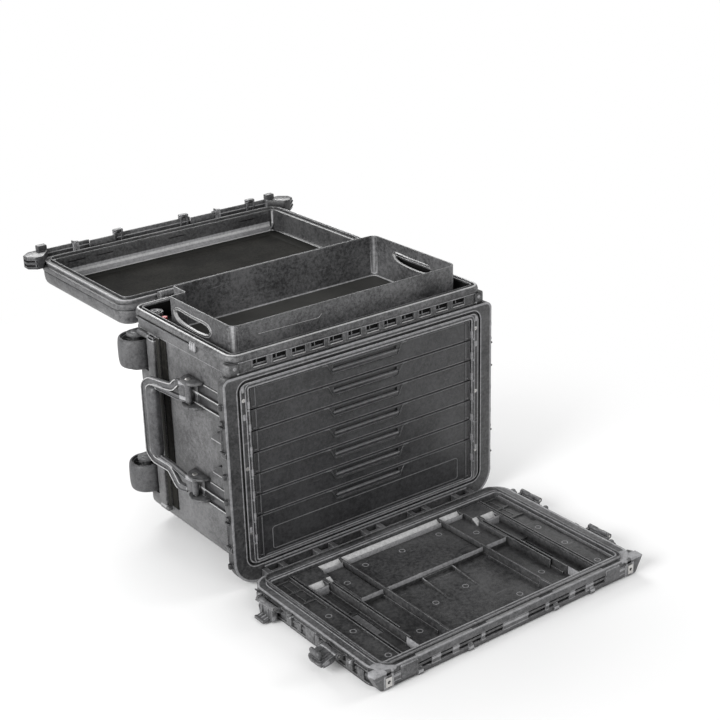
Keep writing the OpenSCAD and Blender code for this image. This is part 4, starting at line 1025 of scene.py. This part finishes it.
def make_studs():
    kit = Kit()
    for side in SIDES:
        for z, foot in zip(HANDLE_EYE_Z, (36, 40)):
            stud = (side * HANDLE_X, HANDLE_Y)
            kit.rod((*stud, z - foot), (*stud, z + 12), 3, 0.5, 20)
            kit.lathe(STUD_HEAD, (*stud, z), segments=24, closed=False)
    kit.finish("handle_studs", "case", "steel", ["handle_pins"])


make_bail(-1, "left")
make_bail(1, "right")
make_studs()

# Wheels on the rear left edge

WHEEL_X = -280
WHEEL_Y = 160
WHEEL_Z = {"upper": 356, "lower": 104}
SPOKES = 6
TYRE_HALF = [(27, 26.5), (29.2, 27.8), (31.2, 27.4), (32.8, 25.6), (33.8, 22), (34.6, 16), (34.95, 8)]
TYRE_TREAD = (35, 0)
HUB_HALF = [
    (27, 24), (24.2, 21), (22.8, 14), (22.4, 3), (13, 3), (10, 22), (9.6, 27.4), (8.8, 28), (5.1, 28),
]


def lower(half):
    """Mirror image of a profile's upper half, in the order that closes it."""
    return [(radius, -height) for radius, height in reversed(half)]


def make_wheel(name, z):
    body = "wheel_%s_body" % name
    centre = (WHEEL_X, WHEEL_Y, z)
    kit = Kit()
    kit.lathe(TYRE_HALF + [TYRE_TREAD] + lower(TYRE_HALF), centre, segments=56)
    kit.finish("tyre_barrel_" + name, body, "tyre", ["tyre_" + name])
    kit = Kit()
    kit.lathe(HUB_HALF + lower(HUB_HALF), centre, segments=48)
    for i in range(SPOKES):
        place = Matrix.Translation(centre) @ Matrix.Rotation(2 * math.pi * i / SPOKES, 4, "Z")
        kit.box(8, 24.5, -1.3, 1.3, -19, 19, 0.5, 2, place)
    kit.finish("wheel_hub_" + name, body, "panel", ["wheel_" + name])


def make_wheel_forks():
    """Forks of the wheels, and the broad bars beside their openings."""
    kit = Kit()
    for z, bar_foot in zip(WHEEL_Z.values(), (318, 57)):
        for side in SIDES:
            cheek = z + side * 32
            outline = arc((WHEEL_X, WHEEL_Y), 17, 90, 270, 15)
            outline += [(-262, 131), (-246, 140), (-246, 169), (-262, 177)]
            kit.prism(outline, "z", cheek - 3, cheek + 3, 0.9, 3)
            cap = [(0, 3), (9, 3), (8.4, 4.8), (6, 5.6), (0, 5.8)]
            cap = [(radius, side * height) for radius, height in cap]
            kit.lathe(cap, (WHEEL_X, WHEEL_Y, cheek), segments=28, closed=False)
        kit.box(-247.5, -241.5, 134, 168, z - 34, z + 34, 1.2)
        kit.box(-285.5, -275, 86, 107, bar_foot, z + 45, 2.2, 3)
        kit.box(-285.5, -275, 86, 146, z + 37, z + 45, 2.2, 3)
        kit.box(-283, -275, 104, 116, z - 42, z + 42, 1.6)
    kit.box(-286.5, -266, 80, 109, 53, 63, 3, 3)
    kit.finish("wheel_forks", "case", "shell", ["wheel_brackets"])


for name, z in WHEEL_Z.items():
    make_wheel(name, z)
make_wheel_forks()

# Door, lying open in front of the case with its inside up

DOOR_TOP = 26.5
DOOR_STEP = 17.5
DOOR_DEEP = 9.5
DOOR_STRIP = DOOR_TOP - 3
DOOR_CELL = DOOR_TOP - 6
DOOR_BOTTOM = 5.5
DOOR_FACE = 33.95
DOOR_EDGE_PATH = rounded_path([(-290, -565, 34), (290, -565, 34), (290, -201, 34), (-290, -201, 34)], 10)
DOOR_RECESS_PATH = rounded_path([(-266, -541, 10), (266, -541, 10), (266, -225, 10), (-266, -225, 10)], 6)
# Levels of the door's inside: x limits, y limits, height, and the height at the second y where it slopes.
# Each level is laid over the ones before it.
MIDDLE_LEVELS = [
    (-240, 240, -540, -222, DOOR_TOP),
    (-112, 112, -242, -225.4, DOOR_STEP, DOOR_TOP),
    (-112, 112, -359, -242, DOOR_STEP),
    (-112, 112, -533, -359, DOOR_DEEP),
]
# The same for one half, with x measured outwards: bays, long ribs on wider feet, and the side strip's cells
HALF_LEVELS = [
    (116, 162, -242, -225.4, DOOR_STEP, DOOR_TOP),
    (116, 166, -359, -242, DOOR_STEP),
    (116, 170, -533, -359, DOOR_DEEP),
    (182, 214, -288, -268, DOOR_DEEP, DOOR_TOP),
    (164, 176, -284, -266, DOOR_STEP, DOOR_TOP),
    (180, 216, -372, -288, DOOR_DEEP),
    (192, 216, -366, -292, DOOR_STEP - 5),
    (180, 216, -533, -370, DOOR_DEEP),
    (184, 205, -445, -371, 6.6),
    (164, 180, -533, -470, DOOR_DEEP),
    (110, 119, -505, -238, DOOR_DEEP + 5),
    (112.4, 116, -508, -221, DOOR_TOP + 1),
    (172, 183, -500, -284, DOOR_DEEP + 5),
    (175.4, 179, -506, -266, DOOR_TOP + 1),
    (213, 265, -534, -222, DOOR_STRIP),
    (214, 217.4, -534, -222, DOOR_TOP + 1),
    (220.5, 223, -534, -222, DOOR_TOP + 0.6),
    (258, 261, -534, -228, DOOR_TOP + 0.4),
    (226, 258, -264, -229, DOOR_CELL),
    (226, 258, -304, -268, DOOR_CELL),
    (226, 258, -344, -308, DOOR_CELL),
    (240, 242.4, -300, -232, DOOR_CELL + 1.6),
]
# Walls that fade out into the lower level, and the slope up to the lip of the free edge
LAST_LEVELS = [
    (-34.6, -31.4, -437, -359, DOOR_DEEP, DOOR_STEP),
    (33.4, 36.6, -437, -359, DOOR_DEEP, DOOR_STEP),
    (-33, 35, -372, -359, DOOR_DEEP + 0.6),
    (-33, 35, -363, -359, DOOR_STEP),
    (-112, -76, -374, -359, DOOR_DEEP + 0.5),
    (78, 112, -374, -359, DOOR_DEEP + 0.5),
    (-210, 210, -540, -533, DOOR_TOP, DOOR_DEEP),
]
# Round marks left by the mould's ejector pins
MARKS = {
    DOOR_STRIP: [(-240, -366), (-236, -429), (-234, -520), (240, -366), (238, -438), (238, -520)],
    DOOR_STEP: [(-146, -292), (-84, -263), (-2, -265), (88, -261), (146, -300)],
    DOOR_DEEP: [(-137, -481), (15, -421), (150, -470), (-60, -430), (70, -500)],
}
STEP_SLOPE = 0.6


def grid_lines(start, end, spans):
    """Places of a stepped plate's grid lines along one side: two close lines at each end of a span."""
    places = {start, end}
    for low, high in spans:
        places |= {low, low + STEP_SLOPE, high - STEP_SLOPE, high}
    lines = []
    for place in sorted(places):
        if start <= place <= end and (not lines or place - lines[-1] > 0.08):
            lines.append(place)
    return lines


def level_at(x, y, levels, base):
    """Height of the last level that covers a point."""
    margin = STEP_SLOPE * 0.8
    for x0, x1, y0, y1, *heights in reversed(levels):
        if x0 + margin <= x <= x1 - margin and y0 + margin <= y <= y1 - margin:
            return heights[0] + (heights[-1] - heights[0]) * (y - y0) / (y1 - y0)
    return base


def add_stepped_plate(kit, x0, x1, y0, y1, base, bottom, levels):
    """Closed plate whose top has levels, each laid over the ones before it."""
    xs = grid_lines(x0, x1, [level[:2] for level in levels])
    ys = grid_lines(y0, y1, [level[2:4] for level in levels])
    part = bmesh.new()
    top = [[part.verts.new((x, y, level_at(x, y, levels, base))) for y in ys] for x in xs]
    skin(part, top, closed_points=False)
    rim = [row[0] for row in top] + top[-1][1:] + [row[-1] for row in top[-2::-1]] + top[0][-2:0:-1]
    foot = [part.verts.new((*vertex.co[:2], bottom)) for vertex in rim]
    skin(part, [rim, foot])
    part.faces.new(foot)
    kit.take(part)


def make_door_levels():
    levels = list(MIDDLE_LEVELS)
    for side in SIDES:
        for near, far, *rest in HALF_LEVELS:
            levels.append((*sorted((side * near, side * far)), *rest))
    levels += LAST_LEVELS
    kit = Kit()
    add_stepped_plate(kit, -265.5, 265.5, -540.5, -225.5, DOOR_TOP, DOOR_BOTTOM, levels)
    for z, places in MARKS.items():
        mark = [(4.9, z - 2), (5.0, z + 0.2), (5.6, z + 0.2), (5.8, z - 2)]
        for x, y in places:
            kit.lathe(mark, (x, y, 0), segments=28)
    plate = kit.finish("door_levels", "door", "panel", ["door_inner_panel"])
    bevel_modifier(plate, 0.0005, math.radians(30))


def add_slope(kit, x, half, near_y, near_z, far_y):
    """Thin pale face laid on a slope of the door's inside that rises to its top level, a painted highlight.
    """
    far_z = DOOR_TOP - 0.2
    outline = [(near_y, near_z - 1.2), (near_y, near_z + 0.25), (far_y, far_z + 0.25), (far_y, far_z - 1.2)]
    kit.prism(outline, "x", x - half, x + half, 0.15, 1)


def make_door_slopes():
    kit = Kit()
    add_slope(kit, 0, 111, -241.6, DOOR_STEP, -226)
    for side in SIDES:
        add_slope(kit, side * 139, 22, -241.6, DOOR_STEP, -226)
        add_slope(kit, side * 198, 15, -287.6, DOOR_DEEP, -268.6)
        add_slope(kit, side * 170, 5, -283.6, DOOR_STEP, -266.6)
    kit.finish("door_slope_highlights", "door", "pad")


def make_door_bar():
    """Face of the door's free edge, left open over its slots."""
    kit = Kit()
    kit.block(0, 244, -567, -564.4, 22.5, 32.6, 0.9)
    kit.block(0, 262, -566.6, -564.4, 1.2, 9.5)
    slot_ends = [28, 68, 76, 124, 137, 163, 181, 211]
    ends = [-262] + [-x for x in reversed(slot_ends)] + slot_ends + [262]
    for x0, x1 in zip(ends[::2], ends[1::2]):
        kit.box(x0, x1, -566.4, -564.4, 8.5, 23.5, 0.5)
    for x in (-206, -100, 92, 178):
        kit.prism([(-564.5, 1.5), (-569.2, 5), (-569.2, 8), (-564.5, 14)], "x", x - 5, x + 5, 0.5)
        kit.block(x, 5, -569.4, -567.4, 1.4, 8, 0.5)
    kit.pair(228, 17, -568.6, -564.4, 6, 31, 1.2)
    for side in SIDES:
        fin = [(274, 33), (301, 33), (302, 30.5), (287, 2.5), (283, 1), (274, 1)]
        kit.prism([(side * x, z) for x, z in fin], "y", -567.4, -550, 0.9)
    kit.finish("door_bar", "door", "lever")


# Long grooves beside the free edge, and blocks on the side edges: y limits, reach and z limits
GROOVE_X = (-150, 0, 150)
GROOVE_HALF = 58
GROOVE_Y = (-556.2, -564.2)
DOOR_BLOCKS = (
    (-233, -247, 8, 14, 31), (-252, -266, 4, 10, 26), (-322, -336, 6.5, 12, 28), (-351, -362, 5, 12, 27),
    (-374, -400, 4, 8, 30), (-405, -416, 7, 12, 30), (-490, -508, 7.5, 12, 31), (-517, -534, 4.5, 10, 26),
)
SCREW_HEAD = [(0, DOOR_FACE), (2.8, 33.9), (3.6, 33.5), (3.6, 30), (0, 30)]
KNOB = [(0, 4), (4.2, 3.8), (5.2, 2.6), (5.4, -4), (0, -4)]


def make_door_grooves():
    kit = Kit()
    # dark strips in the long grooves, painted shade
    for x in GROOVE_X:
        kit.block(x, 57, -564, -556.8, 32.8, 33.7, 0.2, 1)
    kit.finish("door_groove_shade", "door", "gasket")


def make_door_trim():
    kit = Kit()
    # bead on the outer edge, lip in the recess and twin lines round it
    kit.ridge(DOOR_EDGE_PATH, -4.2, -1.0, 33, 33.9, "z", 0.4)
    kit.ridge(DOOR_EDGE_PATH, -0.6, 1.6, 16, 20, "z", 0.9)
    kit.ridge(DOOR_RECESS_PATH, 0.6, 2.6, 33, 33.9, "z", 0.4)
    kit.ridge(DOOR_RECESS_PATH, 7.2, 8.6, 33, 33.9, "z", 0.4)
    for x in GROOVE_X:
        for y in GROOVE_Y:
            kit.block(x, GROOVE_HALF, y - 0.9, y + 0.9, 32, DOOR_FACE, 0.35)
        for side in SIDES:
            kit.block(x + side * GROOVE_HALF, 1, *sorted(GROOVE_Y), 32, DOOR_FACE, 0.35)
    for x in (-222, -75, 75, 222):
        kit.lathe(SCREW_HEAD, (x, -551, 0), segments=16)
    for side in SIDES:
        # plate over the free corner
        plate = [(250, -563), (262, -567), (300, -567), (301, -556), (292, -540), (276, -536)]
        kit.prism([(side * x, y) for x, y in plate], "z", 29.5, 33.4, 0.9)
        # blocks and knobs of the side edge
        for y0, y1, reach, z0, z1 in DOOR_BLOCKS:
            kit.box(side * 288, side * (290 + reach), y0, y1, z0, z1, 1.4)
        for y in (-239, -329, -499):
            kit.lathe(KNOB, (side * 294, y, 29.4), segments=20, closed=False)
    kit.pair(262, 2.5, -567.4, -563, 2, 33, 0.9)
    for z0, z1 in ((6, 8.2), (26.5, 28.5)):
        kit.pair(291, 1.4, -545, -220, z0, z1, 0.6)
    # blocks between the hinge's knuckles
    for x in (55, 165, 235):
        kit.pair(x, 14, -204.5, -199.5, 6, 27, 1.2)
        kit.pair(x, 10, -199.8, -197.5, 12, 21)
    kit.finish("door_trim", "door", "shell")


make_door_levels()
make_door_slopes()
make_door_bar()
make_door_grooves()
make_door_trim()

# Latches

LATCH_BARREL = [
    (2.1, -20), (4.2, -20), (5, -19.2), (5, -7), (4.4, -6.2), (4.4, 6.2), (5, 7), (5, 19.2), (4.2, 20),
    (2.1, 20),
]
LATCH_CLAW = [
    (2, -21.8), (2, -28.9), (14.6, -28.9), (17.6, -28.2), (18.3, -26.8), (18.3, -22.6), (17, -21.8),
    (15, -22.4), (11, -23.2), (7, -22),
]
DOOR_HINGE = (-184.5, 17.5)


def turn_about_x(degrees, y=0.0, z=0.0):
    """Turn about the line along x through (y, z)."""
    pivot = Matrix.Translation((0, y, z))
    return pivot @ Matrix.Rotation(math.radians(degrees), 4, "X") @ pivot.inverted()


def door_latch_place(side, z, opened):
    """From the lever's own frame (eye on x, arm down -z, claw to +y) to its place on the open door."""
    upright = Matrix.Rotation(math.radians(-90), 4, "Z") @ Matrix.Rotation(math.radians(90), 4, "Y")
    on_shut_door = Matrix.Translation((-305, -170.5, z)) @ upright @ turn_about_x(-opened)
    return turn_about_x(90, *DOOR_HINGE) @ Matrix.Diagonal((-side, 1, 1, 1)) @ on_shut_door


def lid_latch_place(x):
    on_shut_lid = Matrix.Translation((x, -180, 440.5)) @ turn_about_x(180)
    return turn_about_x(180, 184, 438) @ on_shut_lid


def mirrored_outline(half):
    """Outline from its left half, listed downwards, and the mirror image of it."""
    return half + [(-x, z) for x, z in reversed(half)]


def make_latch(where, node, place, end=-29):
    """One latch, drawn in its own frame; end is the z of its thumb end."""
    kit = Kit()
    kit.lathe(LATCH_BARREL, (0, 0, 0), "x", 28)
    # paddle: waisted by the eye, wide and rounded at the thumb end
    paddle = [(-19.6, -1), (-19.6, -8), (-18.6, -12), (-19.9, -17), (-19.9, end + 7), (-17.6, end + 2.4),
              (-11, end)]
    kit.prism(mirrored_outline(paddle), "y", -4.2, 3.2, 1.6, 3)
    # thumb face standing off the paddle, and the ribs across its root
    thumb_face = [(-16.8, -17), (-18.2, end + 8), (-15, end + 2.2)]
    kit.prism(mirrored_outline(thumb_face), "y", -7.2, -3.6, 1.5, 3)
    for i in range(3):
        z = -5.2 - i * 4.2
        kit.block(0, 18.4, -8.0 - i * 0.6, -3, z - 1.0, z + 1.0, 0.7)
    cheek = [(-3.5, -2), (-6.6, -9), (-7.2, -16), (-5, end + 4), (2.6, end + 5), (4.4, -12), (3, -2)]
    for side in SIDES:
        kit.prism(cheek, "x", side * 19.7 - 1.3, side * 19.7 + 0.3, 0.4)
        kit.block(side * 9, 1.2, 2.8, 5, -21, -4, 0.6)
    # claw with its turned nose, and ribs in its corner
    kit.prism(LATCH_CLAW, "x", -12.6, 12.6, 0.7)
    for x in (-8, 0, 8):
        kit.prism([(2.6, -20.9), (4.4, -22.6), (14, -24)], "x", x - 1, x + 1, 0.2)
    kit.finish("latch_lever_" + where, "latch_" + where, "lever", [node], place)


for side, hand in ((-1, "left"), (1, "right")):
    for level, z in DOOR_LATCH_Z.items():
        where = hand + "_" + level
        opened, end = (105, -34) if where == "left_upper" else (180, -31)
        make_latch(where, "door_latch_" + where, door_latch_place(side, z, opened), end)
for x, hand in zip(LID_LATCH_X, ("left", "right")):
    make_latch("lid_" + hand, "lid_latch_" + hand, lid_latch_place(x))

# Drawers, six shallow ones above a deep one, numbered from the top

DRAWERS = 7
SHALLOW_PITCH = 40.8
DEEP_PITCH = 83.2
LOWEST_DRAWER_Z = 48
DRAWER_FACE = -165
HANDLE_LINE_Y = -166.8
DRAWER_REAR = 130


def make_drawer_trim(number):
    deep = number == DRAWERS
    pitch = DEEP_PITCH if deep else SHALLOW_PITCH
    z = LOWEST_DRAWER_Z if deep else LOWEST_DRAWER_Z + DEEP_PITCH + (DRAWERS - 1 - number) * SHALLOW_PITCH
    foot = z + 1
    top = z + pitch - 1.5
    slot = top - 12
    kit = Kit()
    # double lines of the corner pillars, with a line across their foot
    kit.pair(243.6, 1.1, -167.5, DRAWER_FACE, foot + 0.8, top - 0.6, 0.6)
    kit.pair(235.2, 1, -167.3, DRAWER_FACE, foot + 0.8, top - 0.6, 0.6)
    kit.pair(239.4, 2.4, -166.9, DRAWER_FACE, foot + 3, foot + 4.6, 0.4)
    # rounded top rails
    kit.pair(232, 1.4, -160, DRAWER_REAR, z + pitch - 5.6, z + pitch - 3.7, 0.7)
    for side in SIDES:
        # end of the finger handle, sweeping down from the top edge, and a line along the drawer's foot
        sweep = [(94, -166.2, top - 1.4), (84, -166.4, top - 1.8), (77, -166.6, slot - 2),
                 (73, HANDLE_LINE_Y, slot - 9.6), (60, HANDLE_LINE_Y, slot - 10.6)]
        kit.tube(rounded_line([(side * x, y, height) for x, y, height in sweep], 5, 5), 1.25, 10)
        kit.block(side * 245 - 0.35, 0.45, -150, DRAWER_REAR, z + 0.6, z + 2, 0.4)
    kit.block(0, 232, -167.4, DRAWER_FACE, top - 2, top)
    kit.block(0, 230, -166.9, DRAWER_FACE, foot, foot + 1.6, 0.6)
    kit.block(0, 230, 129.4, 132, z + pitch - 6.2, z + pitch - 4.4)
    kit.tube([(side * 60, HANDLE_LINE_Y, slot - 10.6) for side in SIDES], 1.25, 10)
    # bulging lip under the slot
    lip = [(-161.4, -9.4), (-165.8, -8.6), (-167.6, -5.6), (-168.2, -2.4), (-167.9, -0.5), (-166.6, 0.4),
           (-164.6, 0.2), (-161.4, -0.3)]
    kit.prism([(y, slot + rise) for y, rise in lip], "x", -72, 72)
    if deep:
        panel = rounded_box_path(-214, 214, foot + 7, slot - 18, 5, 5)
        kit.ridge(panel, -0.9, 0.9, -165.8, HANDLE_LINE_Y, rounding=0.4)
    kit.finish("drawer_trim_%d" % number, "drawer_%d_body" % number, "drawer")


for number in range(1, DRAWERS + 1):
    make_drawer_trim(number)

# Softened edges of the CAD nodes that stay in view

for node_name in ("case_shell", "front_frame", "door_shell", "pull_handle"):
    soften(NODES[node_name], 0.0009)
SMALL_NODES = ["back_panel", "runner_left", "runner_right", "tray_shelf", "base_skids", "handle_brackets",
               "door_hinge_ears", "lid_hinge_ears", "floor_panel", "pressure_valve", "valve_seal",
               "padlock_plates"]
for node_name in SMALL_NODES + ["drawer_%d" % number for number in range(1, DRAWERS + 1)]:
    soften(NODES[node_name], 0.0005)

# Stage, camera and light, with lengths in metres

FLOOR_REACH = 30.0
FLOOR_DROP = 0.0006
WHITE_FROM = 0.55
WHITE_BY = 1.0
CAMERA_PLACE = (-1.4514, -2.1131, 1.3554)
# Degrees: yaw clockwise from +y, pitch upwards from level, roll anticlockwise
CAMERA_YAW = 36.48
CAMERA_PITCH = -22.27
CAMERA_ROLL = -1.64
# Millimetres
CAMERA_SENSOR = 36
CAMERA_LENS = 73.77


def make_floor():
    reach = FLOOR_REACH
    data = bpy.data.meshes.new("floor")
    data.from_pydata([(-reach, -reach, 0), (reach, -reach, 0), (reach, reach, 0), (-reach, reach, 0)], [],
                     [(0, 1, 2, 3)])
    floor = bpy.data.objects.new("floor", data)
    floor.location = (0, 0, -FLOOR_DROP)
    bpy.context.scene.collection.objects.link(floor)
    material, tree, shader = new_material("floor_pale")
    tree.feed(shader, {"Base Color": (0.86, 0.86, 0.86, 1), "Roughness": 0.9, "Specular IOR Level": 0.1})
    # white away from the object, for the camera and in reflections
    place = tree.stretched(tree.add("TexCoord").outputs["Object"], (1, 0.72, 1))
    distance = tree.add("VectorMath", {0: place}, operation="LENGTH").outputs["Value"]
    away = tree.add("MapRange", {"Value": distance, "From Min": WHITE_FROM, "From Max": WHITE_BY},
                    interpolation_type="SMOOTHSTEP").outputs["Result"]
    ray = tree.add("LightPath").outputs
    seen = tree.calculate("MAXIMUM", ray["Is Camera Ray"], ray["Is Glossy Ray"])
    white = tree.add("Emission", {"Strength": 1.0}).outputs[0]
    share = tree.calculate("MULTIPLY", away, seen)
    mixed = tree.add("MixShader", {"Fac": share, 1: shader.outputs[0], 2: white})
    tree.feed(tree.nodes["Material Output"], {"Surface": mixed.outputs[0]})
    data.materials.append(material)


def make_camera():
    data = bpy.data.cameras.new("camera")
    camera = bpy.data.objects.new("camera", data)
    bpy.context.scene.collection.objects.link(camera)
    turn = Matrix.Rotation(math.radians(-CAMERA_YAW), 4, "Z")
    turn @= Matrix.Rotation(math.radians(90 + CAMERA_PITCH), 4, "X")
    turn @= Matrix.Rotation(math.radians(CAMERA_ROLL), 4, "Z")
    camera.matrix_world = Matrix.Translation(CAMERA_PLACE) @ turn
    data.sensor_width = CAMERA_SENSOR
    data.lens = CAMERA_LENS
    data.clip_start = 0.05
    data.clip_end = 100
    bpy.context.scene.camera = camera


def make_lamp(name, place, target, size, power):
    data = bpy.data.lights.new(name, "AREA")
    data.shape = "RECTANGLE"
    data.size, data.size_y = size
    data.energy = power
    lamp = bpy.data.objects.new(name, data)
    lamp.location = place
    lamp.rotation_mode = "QUATERNION"
    lamp.rotation_quaternion = (Vector(target) - Vector(place)).to_track_quat("-Z", "Y")
    bpy.context.scene.collection.objects.link(lamp)


def make_world():
    """White to the camera, dimmer as a light on the object."""
    world = bpy.data.worlds.new("studio")
    bpy.context.scene.world = world
    tree = Tree(world)
    seen = tree.add("LightPath").outputs["Is Camera Ray"]
    strength = tree.add("Mix", {"Factor": seen, "A": 0.4, "B": 1.0}, data_type="FLOAT").outputs["Result"]
    tree.feed(tree.nodes["Background"], {"Strength": strength, "Color": (1, 1, 1, 1)})


make_camera()
make_world()
make_floor()
make_lamp("key", (-2.7, -0.5, 1.4), (0, 0, 0.2), (1.8, 1.6), 92)
make_lamp("front", (-0.4, -2.9, 1.9), (0, 0, 0.2), (1.6, 1.0), 16)
make_lamp("back", (0.7, 2.4, 2.0), (0, 0.1, 0.3), (2.4, 1.2), 75)
make_lamp("side", (2.5, -1.0, 1.3), (0, -0.2, 0.2), (1.2, 1.6), 24)
bpy.context.scene.view_settings.view_transform = "Standard"
